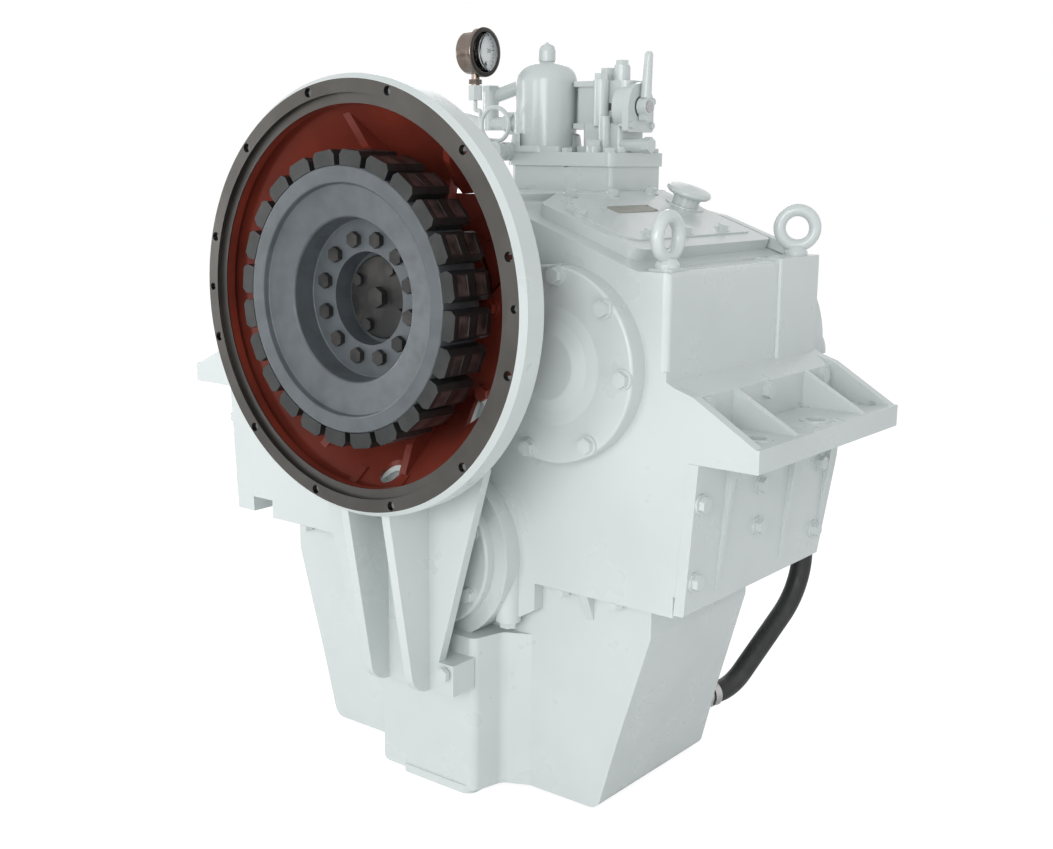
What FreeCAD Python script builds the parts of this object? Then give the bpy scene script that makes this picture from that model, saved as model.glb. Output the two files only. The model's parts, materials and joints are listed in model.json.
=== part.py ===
import FreeCAD, Part
import math
import os

# Marine gearbox, millimetres.
# The origin is the centre of the engine flange face on the input axis.
# +Y runs from the engine into the gearbox, +X to the right seen from the engine, +Z up.

V = FreeCAD.Vector

# Shaft axes and gear train
GEAR_MODULE = 5.0
OUTPUT_TEETH = 106
AHEAD_TEETH = 38
ASTERN_TEETH = 30
DRIVE_TEETH = 42
PUMP_TEETH = 12
PUMP_MODULE = 4.0
PUMP_ADDENDUM = 2.4
PUMP_DEDENDUM = 3.6
ADDENDUM = 0.85 * GEAR_MODULE
DEDENDUM = 1.15 * GEAR_MODULE
BACKLASH = 0.40
PRESSURE_ANGLE = 20.0
OUTPUT_DROP = GEAR_MODULE * (AHEAD_TEETH + OUTPUT_TEETH) / 2.0
DRIVE_CENTRES = GEAR_MODULE * DRIVE_TEETH
ASTERN_CENTRES = GEAR_MODULE * (ASTERN_TEETH + OUTPUT_TEETH) / 2.0
SIDE_Z = (ASTERN_CENTRES ** 2 - DRIVE_CENTRES ** 2 - OUTPUT_DROP ** 2) / (2.0 * OUTPUT_DROP)
SIDE_X = math.sqrt(DRIVE_CENTRES ** 2 - SIDE_Z ** 2)
INPUT = (0.0, 0.0)
SIDE = (SIDE_X, SIDE_Z)
OUTPUT = (0.0, -OUTPUT_DROP)

# Clearances
SEAT = 0.3
RUNNING = 0.08

# Engine flange and bell
FLANGE_R = 279.0
FLANGE_DEPTH = 40.0
FLANGE_CHAMFER = 6.0
PILOT_R = 255.6
PILOT_DEPTH = 6.0
LIP_R = 243.0
BOLT_CIRCLE_R = 265.1
FLANGE_BOLTS = 12
FLANGE_HOLE_R = 6.0
NECK_R = 160.0
BELL_WALL = 12.0
BELL_BACK = 18.0
WINDOW = (46.0, 128.0)
WINDOW_R = 32.0

# Main casing
FRONT_Y = 190.0
REAR_Y = 592.0
WALL = 14.0
END_WALL = 20.0
EDGE_R = 9.0
ROOF_Z = 131.0
ROOF_HALF = 90.0
ROOF_LEFT_X = -122.0
ROOF_EDGE_X = 305.0
SHOULDER_Z = 44.0
RIGHT_UPPER_X = 353.0
LEFT_UPPER_X = -381.0
FOOT_ROOT_Z = -89.0
FOOT_LEDGE_Z = -107.0
FOOT_TOP_Z = -156.0
FOOT_BOTTOM_Z = -186.0
RIGHT_FOOT_X = 485.0
LEFT_FOOT_X = -547.0
FOOT_END_Y = 592.0
RIGHT_WALL_TOP = 388.0
RIGHT_WALL_LOW = 374.0
LEFT_WALL_TOP = -427.0
LEFT_WALL_LOW = -415.0
HANG_Z = -384.0
PLATE_T = 15.0
LEFT_PLATE_T = 38.0
PLATE_RIBS_Y = (268.0, 441.0, 552.0)
SPLIT_Z = -OUTPUT_DROP
FOOT_HOLE_R = 13.0
FOOT_HOLES_Y = (246.0, 406.0, 566.0)
FOOT_RIBS_Y = (302.0, 497.0)
FOOT_RIB_T = 12.0
WALL_BOLTS_Y = (226.0, 384.0, 545.0)
WALL_BOLT_Z = -119.0
RIGHT_HOLE_X = 450.0
LEFT_HOLE_X = -500.0

# Lower casing
SUMP_FRONT_Y = 209.0
SUMP_REAR_Y = 480.0
SUMP_LEAN = 24.0
SUMP_BOTTOM_Z = -695.0
SUMP_FLANGE = 28.0
BOX_FRONT_Y = 142.0
BOX_HALF = 87.0
LUG_X = 109.0
LUG_R = 17.5
LUG_BOTTOM_Z = -450.0
BUTTRESS_Z = -540.0
BUTTRESS_BOLTS = ((10.0, -512.0), (74.0, -509.0))

# Shafts and bearings
SHAFT_R = 48.0
NECK_SHAFT_R = 45.0
OUT_SHAFT_R = 62.0
OUT_NECK_R = 58.0
RACE_IN = 9.0
ROLLER_R = 6.0
RACE_OUT = 9.0
BEARING_W = 30.0
OUTPUT_GEAR_Y = (262.0, 342.0)
PINION_Y = (258.0, 346.0)
DRUM_Y = (372.0, 520.0)
DRIVE_GEAR_Y = (372.0, 422.0)
DRUM_R = 98.0
DRUM_BORE = 88.0
HUB_R = 60.0

# Coupling on the engine side
DISC_R = 168.0
BLOCK_R = 187.0
BLOCKS = 24
BLOCK_PHASE = 5.5
BLOCK_WIDTH = 38.0
HUB_BOLTS = 12
HUB_BOLT_PCR = 77.1
END_BOLT_PCR = 42.2
END_BOLT_PHASE = 29.0
HUB_BORE_R = 36.0

# Round covers
SIDE_BOSS_R = 128.0
SIDE_COVER_Y = 161.0
OUT_BOSS_R = 128.0
OUT_COVER_R = 106.0
OUT_COVER_BOLT_R = 90.0
OUT_COVER_Y = 146.0
REAR_COVER_R = 152.0
REAR_COVER_DEPTH = 44.0
SIDE_COVER_BOLT_R = 115.5
SIDE_COVER_ANGLES = (5.0, 47.0, 93.0, 146.0, 195.0, 245.0, 305.0)
PUMP_Y = REAR_Y + REAR_COVER_DEPTH + 4.0

# Top gear
PEDESTAL_RIGHT = 82.0
PEDESTAL_LEFT = -112.0
PEDESTAL_FRONT = 450.0
PEDESTAL_REAR = 590.0
PEDESTAL_TOP = 187.0
PEDESTAL_FLANGE = 20.0
FILTER_X = -74.0
FILTER_Y = 502.0
BOWL_R = 47.0
BOWL_TOP = 322.0
HEAD_HEIGHT = 28.0
HEAD_NOTCH = 38.0
GAUGE = (-158.0, 434.0, 335.0)
GAUGE_R = 37.0
SPRING_X = 53.0
PLATE_MID_Y = 518.0
LEVER_PLATE_X = 90.0
BREATHER = (157.0, 535.0)
BREATHER_STEM = 22.0
EYE_PLACES = ((328.0, 224.0, 90.0), (335.0, 555.0, 30.0))
EYE_RING_R = 24.8
EYE_BAR_R = 8.7
EYE_HEIGHT = 38.5
SIPHON_R = 3.2
SIPHON_COIL_R = 25.0
SIPHON_COIL = (-119.0, 227.5)
SPRING_R = 6.0
SPRING_WIRE_R = 1.1
SPRING_TURNS = 4
BANJO = (-108.0, 433.0, 187.0)
PORT = (-135.0, 520.0, 231.0)
RETURN_X = -345.0
PIPE_R = 11.0
PIPE_END = (-69.0, 571.0, 284.0)
LEVER_Y = 516.0
LEVER_Z = 254.0

# Hose
HOSE_R = 16.0
HOSE_BORE_R = 12.8
HOSE_LOW_BEND_R = 78.0
HOSE_HIGH_BEND_R = 130.0
HOSE_FOOT_X = 246.0
HOSE_TOP = (306.5, 683.0)
HOSE_LOW_Z = -620.0
HOSE_TURN_Z = -484.0
HOSE_TAIL = 24.0
HOSE_LOW_RUN = 72.0


def save(name, shape):
    """Write one node as a STEP file."""
    shape.exportStep("parts/" + name + ".step")


def fused(pieces):
    """One solid from pieces that overlap or touch."""
    whole = pieces[0].fuse(pieces[1:])
    return whole.removeSplitter()


def group(pieces):
    """Separate solids kept side by side in one node."""
    return Part.makeCompound(pieces)


def wire(points, place):
    """Closed wire through (u, v) or (u, v, corner radius) points."""
    count = len(points)
    entries = []
    for i, point in enumerate(points):
        here = V(point[0], point[1], 0)
        if len(point) < 3 or point[2] <= 0:
            entries.append((here, here, here))
            continue
        before = points[i - 1]
        after = points[(i + 1) % count]
        a = (V(before[0], before[1], 0) - here).normalize()
        b = (V(after[0], after[1], 0) - here).normalize()
        half = a.getAngle(b) / 2.0
        reach = point[2] / math.tan(half)
        start = here + a * reach
        end = here + b * reach
        middle_way = (a + b).normalize()
        centre = here + middle_way * (point[2] / math.sin(half))
        middle = centre - middle_way * point[2]
        entries.append((start, middle, end))
    edges = []
    for i in range(count):
        start, middle, end = entries[i]
        following = entries[(i + 1) % count][0]
        if (end - start).Length > 1e-6:
            arc = Part.Arc(place(start.x, start.y), place(middle.x, middle.y), place(end.x, end.y))
            edges.append(arc.toShape())
        if (following - end).Length > 1e-6:
            edges.append(Part.makeLine(place(end.x, end.y), place(following.x, following.y)))
    return Part.Wire(edges)


def plate_y(points, y0, y1):
    """Outline in X and Z carried along Y."""
    face = Part.Face(wire(points, lambda u, v: V(u, y0, v)))
    return face.extrude(V(0, y1 - y0, 0))


def plate_x(points, x0, x1):
    """Outline in Y and Z carried along X."""
    face = Part.Face(wire(points, lambda u, v: V(x0, u, v)))
    return face.extrude(V(x1 - x0, 0, 0))


def plate_z(points, z0, z1):
    """Outline in X and Y carried along Z."""
    face = Part.Face(wire(points, lambda u, v: V(u, v, z0)))
    return face.extrude(V(0, 0, z1 - z0))


def turned(points, axis=(0.0, 0.0)):
    """Outline of (radius, y) turned about a line along Y at (x, z)."""
    face = Part.Face(wire(points, lambda r, y: V(axis[0] + r, y, axis[1])))
    return face.revolve(V(axis[0], 0, axis[1]), V(0, 1, 0), 360)


def turned_z(points, x, y):
    """Outline of (radius, z) turned about a vertical line."""
    face = Part.Face(wire(points, lambda r, z: V(x + r, y, z)))
    return face.revolve(V(x, y, 0), V(0, 0, 1), 360)


def turned_x(points, y, z):
    """Outline of (radius, x) turned about a line along X."""
    face = Part.Face(wire(points, lambda r, x: V(x, y, z + r)))
    return face.revolve(V(0, y, z), V(1, 0, 0), 360)


def rod(radius, start, end):
    """Round bar between two points."""
    a = V(*start)
    b = V(*end)
    return Part.makeCylinder(radius, (b - a).Length, a, b - a)


def rod_y(radius, y0, y1, axis=(0.0, 0.0)):
    """Round bar along Y."""
    return rod(radius, (axis[0], y0, axis[1]), (axis[0], y1, axis[1]))


def ring_y(outer, inner, y0, y1, axis=(0.0, 0.0)):
    """Plain ring along Y."""
    return rod_y(outer, y0, y1, axis).cut(rod_y(inner, y0 - 1, y1 + 1, axis))


def brick(x0, x1, y0, y1, z0, z1):
    """Rectangular block."""
    return Part.makeBox(x1 - x0, y1 - y0, z1 - z0, V(x0, y0, z0))


def around(count, radius, phase=0.0, axis=(0.0, 0.0)):
    """Points (x, z) on a circle, angles in degrees from the top towards +X."""
    places = []
    for i in range(count):
        turn = math.radians(phase + 360.0 * i / count)
        places.append((axis[0] + radius * math.sin(turn), axis[1] + radius * math.cos(turn)))
    return places


def hexagon(centre, direction, across, height):
    """Hexagon bar with the given distance across flats."""
    way = V(*direction).normalize()
    side = V(0, 0, 1) if abs(way.z) < 0.9 else V(1, 0, 0)
    side = (side - way * side.dot(way)).normalize()
    other = way.cross(side)
    radius = across / math.sqrt(3.0)
    points = []
    for i in range(6):
        turn = math.radians(60.0 * i)
        points.append(V(*centre) + side * (radius * math.cos(turn)) + other * (radius * math.sin(turn)))
    points.append(points[0])
    return Part.Face(Part.makePolygon(points)).extrude(way * height)


def bolt(seat, direction, size, length=0.0):
    """Hexagon bolt: the head stands on the seat, the shank runs the other way."""
    head = hexagon(seat, direction, 1.5 * size, 0.65 * size)
    if length <= 0:
        return head
    way = V(*direction).normalize()
    shank = Part.makeCylinder(size / 2.0, length, V(*seat), way * -1.0)
    return head.fuse(shank).removeSplitter()


def shank_hole(seat, direction, size, length, grow=0.0):
    """Cutter for the shank of a bolt."""
    way = V(*direction).normalize()
    start = V(*seat) + way * 0.5
    return Part.makeCylinder(size / 2.0 + grow, length + 0.5, start, way * -1.0)


def cut_all(body, cutters):
    """Take several cutters away from one body."""
    if not cutters:
        return body
    return body.cut(cutters)


def gear(teeth, module, y0, y1, axis, tooth_angle, bore, addendum=None, dedendum=None):
    """Spur gear with straight-sided teeth; tooth_angle is a tooth centre from the top towards +X."""
    add = addendum if addendum is not None else ADDENDUM
    ded = dedendum if dedendum is not None else DEDENDUM
    pitch_r = teeth * module / 2.0
    half = (math.pi * module / 2.0 - BACKLASH) / 2.0
    lean = math.tan(math.radians(PRESSURE_ANGLE))
    points = []
    for i in range(teeth):
        centre = math.radians(tooth_angle) + 2.0 * math.pi * i / teeth
        for height, sign in ((-ded, -1), (add, -1), (add, 1), (-ded, 1)):
            radius = pitch_r + height
            extra = 0.0 if height < 0 else 0.25
            width = half - height * lean - extra
            turn = centre + sign * width / radius
            points.append(V(axis[0] + radius * math.sin(turn), y0, axis[1] + radius * math.cos(turn)))
    points.append(points[0])
    blank = Part.Face(Part.makePolygon(points)).extrude(V(0, y1 - y0, 0))
    if bore <= 0:
        return blank
    return blank.cut(rod_y(bore, y0 - 1, y1 + 1, axis))


def direction_of(start, end):
    """Angle of the line from one axis to another, from the top towards +X."""
    return math.degrees(math.atan2(end[0] - start[0], end[1] - start[1]))


def mate_angle(angle, teeth, mate_teeth, line):
    """Tooth angle of a mating gear so that a tooth meets a gap on the line of centres."""
    pitch = 360.0 / teeth
    offset = (angle - line + pitch / 2.0) % pitch - pitch / 2.0
    gap = line + 180.0 - offset * teeth / mate_teeth
    return gap + 180.0 / mate_teeth


def bearing(axis, y0, neck, rollers=16):
    """Outer ring, inner ring and rollers of one bearing."""
    inner_r = neck + RACE_IN
    outer_r = inner_r + 2 * ROLLER_R
    y1 = y0 + BEARING_W
    outer = ring_y(outer_r + RACE_OUT, outer_r + RUNNING, y0, y1, axis)
    inner = ring_y(inner_r, neck, y0, y1, axis)
    bodies = [inner]
    for x, z in around(rollers, inner_r + ROLLER_R, 0.0, axis):
        bodies.append(rod_y(ROLLER_R, y0 + 4, y1 - 4, (x, z)))
    return outer, bodies


def bearing_outer_r(neck):
    """Outside radius of a bearing on the given shaft neck."""
    return neck + RACE_IN + 2 * ROLLER_R + RACE_OUT


INPUT_FRONT_Y = FRONT_Y + 6.0
OUT_FRONT_Y = FRONT_Y - 8.0
REAR_BEARING_Y = REAR_Y - BEARING_W - 12.0
SIDE_FRONT_Y = FRONT_Y - 8.0


def roof_z(x):
    """Height of the sloping roof at x."""
    slope = (ROOF_Z - 13.0 - SHOULDER_Z) / (ROOF_EDGE_X - ROOF_HALF)
    return ROOF_Z - 13.0 - (x - ROOF_HALF) * slope


def bell_holes():
    """Bolt places that tie the bell to the casing."""
    places = []
    for x, z in around(10, 126.0, 10.0):
        gap = math.hypot(x - SIDE[0], z - SIDE[1])
        window_gap = math.hypot(x - WINDOW[0], z - WINDOW[1])
        if gap > SIDE_BOSS_R + 24 and window_gap > WINDOW_R + 18 and z < ROOF_Z - 6:
            places.append((x, z))
    return places


def bell_housing():
    """Engine ring, cone, ribs and the ribbed foot under the ring."""
    outer = [(LIP_R, PILOT_DEPTH), (PILOT_R, PILOT_DEPTH), (PILOT_R, 0), (FLANGE_R - FLANGE_CHAMFER, 0),
             (FLANGE_R, FLANGE_CHAMFER + 2), (FLANGE_R, FLANGE_DEPTH, 4), (FLANGE_R - 16,
                                                                           FLANGE_DEPTH + 6, 8),
             (NECK_R, FRONT_Y - BELL_BACK, 8), (NECK_R, FRONT_Y), (92, FRONT_Y), (92, FRONT_Y - BELL_BACK),
             (NECK_R - BELL_WALL, FRONT_Y - BELL_BACK, 10), (FLANGE_R - 30, FLANGE_DEPTH + 4, 10),
             (FLANGE_R - 26, 24), (LIP_R, 20)]
    shell = turned(outer)
    pieces = [shell]
    for angle in (-14, 28, 172, 208, 280):
        rib = plate_x([(FLANGE_DEPTH + 10, 250), (FRONT_Y - BELL_BACK + 2, NECK_R - 6),
                       (FRONT_Y - BELL_BACK + 2, 112), (FLANGE_DEPTH + 40, 196)], -6, 6)
        rib.rotate(V(0, 0, 0), V(0, 1, 0), angle)
        pieces.append(rib)
    low = BUTTRESS_Z
    back = plate_y([(-172, -217), (-104, -486, 10), (-88, -497, 4), (-50, -500), (61, -500),
                    (141, -217)], 98, 112)
    foot = brick(-45, 88, 98, BOX_FRONT_Y, low, low + 44)
    pieces += [back, foot]
    for x in (-45.0, 31.0):
        rib = plate_x([(18, -262), (68, low, 32), (120, low), (100, -255), (60, -230)], x, x + 14)
        pieces.append(rib)
    body = fused(pieces)
    cutters = []
    for x, z in around(FLANGE_BOLTS, BOLT_CIRCLE_R, 15.0):
        cutters.append(rod_y(FLANGE_HOLE_R, -1, FLANGE_DEPTH + 20, (x, z)))
    for angle in (88.0, 270.0):
        x, z = around(1, BOLT_CIRCLE_R, angle)[0]
        cutters.append(rod_y(5.0, -1, FLANGE_DEPTH + 20, (x, z)))
    cutters.append(rod_y(SIDE_BOSS_R + 6.0, 118, FRONT_Y + 10, SIDE))
    cutters.append(rod_y(WINDOW_R, 120, FRONT_Y + 10, WINDOW))
    cutters.append(rod(16.0, (8, 66, -300), (8, 66, -200)))
    for place in BUTTRESS_BOLTS:
        cutters.append(rod_y(6.5, 90, BOX_FRONT_Y + 1, place))
    for x, z in bell_holes():
        cutters.append(rod_y(8.5, FRONT_Y - BELL_BACK - 1, FRONT_Y + 1, (x, z)))
    return cut_all(body, cutters)


def wall_x(side, z):
    """Outer face of the hanging side wall at height z."""
    top = RIGHT_WALL_TOP if side > 0 else LEFT_WALL_TOP
    low = RIGHT_WALL_LOW if side > 0 else LEFT_WALL_LOW
    return top + (low - top) * (FOOT_BOTTOM_Z - z) / (FOOT_BOTTOM_Z - HANG_Z)


def upper_outline(inset=0.0):
    """Cross-section of the main casing seen from the front."""
    i = inset
    ledge = i * 0.6
    return [(wall_x(1, SPLIT_Z) - i, SPLIT_Z), (RIGHT_WALL_TOP - i, FOOT_BOTTOM_Z),
            (RIGHT_WALL_TOP - i, FOOT_LEDGE_Z - ledge), (RIGHT_UPPER_X - i, FOOT_ROOT_Z - ledge),
            (RIGHT_UPPER_X - i, SHOULDER_Z - i * 0.9, 6), (ROOF_EDGE_X - i, SHOULDER_Z - i * 0.9, 20),
            (ROOF_HALF, ROOF_Z - 13 - i, 8), (ROOF_HALF - i, ROOF_Z - i), (ROOF_LEFT_X + i, ROOF_Z - i),
            (LEFT_UPPER_X + 60 + i, SHOULDER_Z - i * 0.9, 20), (LEFT_UPPER_X + i, SHOULDER_Z - i * 0.9, 6),
            (LEFT_UPPER_X + i, FOOT_ROOT_Z - ledge), (LEFT_WALL_TOP + i, FOOT_LEDGE_Z - ledge),
            (LEFT_WALL_TOP + i, FOOT_BOTTOM_Z), (wall_x(-1, SPLIT_Z) + i, SPLIT_Z)]


def foot_pieces(side):
    """Mounting foot of one side: plate, end gussets and ribs."""
    root = RIGHT_UPPER_X - 8 if side > 0 else LEFT_UPPER_X + 8
    wall = RIGHT_WALL_TOP if side > 0 else LEFT_WALL_TOP
    tip = RIGHT_FOOT_X if side > 0 else LEFT_FOOT_X
    hole_x = RIGHT_HOLE_X if side > 0 else LEFT_HOLE_X
    inner = wall - side * 8
    near = min(inner, tip)
    far = max(inner, tip)
    pieces = [brick(near, far, FRONT_Y, FOOT_END_Y, FOOT_BOTTOM_Z, FOOT_TOP_Z)]
    slope = [(root, FOOT_ROOT_Z), (wall + side * 3, FOOT_LEDGE_Z + 4, 12), (tip - side * 2,
                                                                            FOOT_TOP_Z - 2, 4),
             (tip, FOOT_TOP_Z - 8), (tip, FOOT_BOTTOM_Z), (root, FOOT_BOTTOM_Z)]
    pieces.append(plate_y(slope, FRONT_Y, FRONT_Y + 16))
    pieces.append(plate_y(slope, FOOT_END_Y - 16, FOOT_END_Y))
    rib = [(inner, FOOT_LEDGE_Z), (wall, FOOT_LEDGE_Z), (tip - side * 8, FOOT_TOP_Z),
           (tip - side * 8, FOOT_TOP_Z - 10), (inner, FOOT_TOP_Z - 10)]
    for y in FOOT_RIBS_Y:
        pieces.append(plate_y(rib, y - FOOT_RIB_T / 2, y + FOOT_RIB_T / 2))
    for y in FOOT_HOLES_Y:
        if y < FOOT_END_Y - 30:
            pieces.append(rod(21.0, (hole_x, y, FOOT_TOP_Z - 4), (hole_x, y, FOOT_TOP_Z + 2)))
    return pieces


def upper_housing():
    """Main casing: walls, roof, feet, bearing seats and eye bolt bosses."""
    shell = plate_y(upper_outline(), FRONT_Y, REAR_Y)
    hollow = plate_y(upper_outline(WALL), FRONT_Y + END_WALL, REAR_Y - END_WALL)
    hollow = hollow.fuse(brick(-345, 345, FRONT_Y + END_WALL, REAR_Y - END_WALL, SPLIT_Z - 5, SPLIT_Z + 5))
    body = shell.cut(hollow)
    pieces = [body]
    pieces += foot_pieces(1)
    pieces += foot_pieces(-1)
    outline, place, square = cover_frame()
    pieces.append(Part.Face(wire(outline, place)).extrude(square * -12.0))
    pieces.append(plate_y([(150, roof_z(150) - 3), (150, roof_z(150) + 9), (200, roof_z(200) + 17, 20),
                           (300, roof_z(300) + 17, 10), (322, SHOULDER_Z - 4)], REAR_Y - 16, REAR_Y))
    pieces.append(plate_z([(308, 204, 10), (345, 204, 10), (345, 246, 10), (308, 246, 10)],
                          SHOULDER_Z - 6, SHOULDER_Z + 3))
    pieces.append(plate_z([(316, 470), (RIGHT_UPPER_X + 4, 470, 4), (RIGHT_UPPER_X + 4, REAR_Y - 4, 6),
                           (316, REAR_Y - 4, 6)],
                          FOOT_ROOT_Z - 6, SHOULDER_Z + 3))
    for axis, front_y in ((INPUT, FRONT_Y), (SIDE, SIDE_COVER_Y + 13)):
        radius = SIDE_BOSS_R if axis is SIDE else 88.0
        depth = FRONT_Y + 38
        if axis is SIDE:
            pieces.append(rod_y(radius, front_y, FRONT_Y + 4, axis))
        pieces.append(rod_y(bearing_outer_r(NECK_SHAFT_R) + 12, FRONT_Y + 2, depth, axis))
        pieces.append(rod_y(bearing_outer_r(NECK_SHAFT_R) + 12, REAR_BEARING_Y - 2, REAR_Y - 2, axis))
    half_out = rod_y(OUT_BOSS_R, OUT_COVER_Y + 16, FRONT_Y + 40, OUTPUT)
    half_out = half_out.fuse(rod_y(OUT_BOSS_R, REAR_BEARING_Y - 4, REAR_Y, OUTPUT))
    above = brick(-200, 200, 100, 700, SPLIT_Z, 0)
    pieces.append(half_out.common(above))
    whole = fused(pieces)
    race = bearing_outer_r(NECK_SHAFT_R)
    cutters = []
    for axis, start in ((INPUT, INPUT_FRONT_Y), (SIDE, SIDE_FRONT_Y)):
        cutters.append(rod_y(race, start, FRONT_Y + 60, axis))
        cutters.append(rod_y(race - 6, FRONT_Y - 60, FRONT_Y + 60, axis))
        cutters.append(rod_y(race, REAR_BEARING_Y - 10, REAR_Y + 10, axis))
    out_race = bearing_outer_r(OUT_NECK_R)
    cutters.append(rod_y(out_race, OUT_FRONT_Y - 60, OUT_FRONT_Y + BEARING_W + 40, OUTPUT))
    cutters.append(rod_y(out_race, REAR_BEARING_Y - 20, REAR_Y + 10, OUTPUT))
    gear_tip = OUTPUT_TEETH * GEAR_MODULE / 2 + ADDENDUM
    cutters.append(rod_y(gear_tip + 4, OUTPUT_GEAR_Y[0] - 12, OUTPUT_GEAR_Y[1] + 12, OUTPUT))
    for y in FOOT_HOLES_Y:
        cutters.append(rod(FOOT_HOLE_R, (RIGHT_HOLE_X, y, FOOT_BOTTOM_Z - 1), (RIGHT_HOLE_X, y,
                                                                               FOOT_TOP_Z + 3)))
        cutters.append(rod(FOOT_HOLE_R, (LEFT_HOLE_X, y, FOOT_BOTTOM_Z - 1), (LEFT_HOLE_X, y,
                                                                              FOOT_TOP_Z + 3)))
    cutters.append(plate_y([(128, roof_z(128) - 40), (128, roof_z(128) + 20), (226, roof_z(226) + 20),
                            (226, roof_z(226) - 40)], FRONT_Y + 80, REAR_Y - 36))
    cutters.append(brick(PEDESTAL_LEFT + 30, 62, PEDESTAL_FRONT + 24, PEDESTAL_REAR - 24, ROOF_Z - 60,
                         ROOF_Z + 20))
    for seat, way, size, length in threaded_places():
        cutters.append(shank_hole(seat, way, size, length))
    for seat in out_cover_bolts():
        cutters.append(shank_hole(seat, (0, -1, 0), 12, 34))
    for x, side in ((RIGHT_UPPER_X, 1), (LEFT_UPPER_X, -1)):
        corner = brick(min(x, x - side * EDGE_R), max(x, x - side * EDGE_R), FRONT_Y - 1,
                       FRONT_Y + EDGE_R, FOOT_ROOT_Z + 12, SHOULDER_Z + 1)
        cutters.append(corner.cut(rod(EDGE_R, (x - side * EDGE_R, FRONT_Y + EDGE_R, -300),
                                      (x - side * EDGE_R, FRONT_Y + EDGE_R, 200))))
    return cut_all(whole, cutters)


def side_cover_bolts():
    """Seats of the bolts on the round front cover."""
    places = [around(1, SIDE_COVER_BOLT_R, angle, SIDE)[0] for angle in SIDE_COVER_ANGLES]
    return [(x, SIDE_COVER_Y - 3, z) for x, z in places]


def out_cover_bolts():
    """Seats of the bolts on the output front cover, none on the split line."""
    return [(x, OUT_COVER_Y - 3, z) for x, z in around(6, OUT_COVER_BOLT_R, 3.6, OUTPUT)]


def side_plate_places(side):
    """Seats of the bolts on a side plate."""
    rows = [(204, -238), (207, -341), (356, -241), (361, -299), (529, -241), (535, -341)]
    return [(plate_face_x(side, z) + side * 3, y, z) for y, z in rows]


def plate_face_x(side, z):
    """Outer face of a side plate at height z."""
    return wall_x(side, z) + (PLATE_T if side > 0 else -LEFT_PLATE_T)


def top_cover_places():
    """Bolt seats (x, y) of the inclined cover."""
    rows = [(106, y) for y in (318.0, 420.0, 522.0)]
    rows += [(244, y) for y in (305.0, 398.0, 496.0)]
    rows += [(171, 251.0)]
    return rows


def slope_vectors():
    """Unit vectors along and square to the sloping roof."""
    rise = roof_z(200) - roof_z(100)
    along = V(100, 0, rise).normalize()
    square = V(-along.z, 0, along.x)
    return along, square


def threaded_places():
    """Every bolt whose shank ends in the main casing: seat, direction, size, length."""
    places = []
    for seat in side_cover_bolts():
        places.append((seat, (0, -1, 0), 12, 36))
    for seat in rear_cover_bolts():
        places.append((seat, (0, 1, 0), 12, REAR_COVER_DEPTH + 19))
    for seat in side_plate_places(1):
        places.append((seat, (1, 0, 0), 12, 26))
    for seat in side_plate_places(-1):
        places.append((seat, (-1, 0, 0), 12, 48))
    for x, z in bell_holes():
        places.append(((x, FRONT_Y - BELL_BACK, z), (0, -1, 0), 16, 34))
    for y in WALL_BOLTS_Y:
        places.append(((RIGHT_WALL_TOP, y, WALL_BOLT_Z), (1, 0, 0), 14, 22))
        places.append(((LEFT_WALL_TOP, y, WALL_BOLT_Z), (-1, 0, 0), 14, 22))
    square = slope_vectors()[1]
    for x, y in top_cover_places():
        seat = V(x, y, roof_z(x) + 8) + square * 11.0
        places.append(((seat.x, seat.y, seat.z), (square.x, 0, square.z), 10, 19))
    return places


def sump_rear_y(z):
    """Rear wall of the oil pan at height z; it leans forward towards the top."""
    return SUMP_REAR_Y - SUMP_LEAN * (z - SUMP_BOTTOM_Z) / (SPLIT_Z - SUMP_FLANGE - SUMP_BOTTOM_Z)


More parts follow.
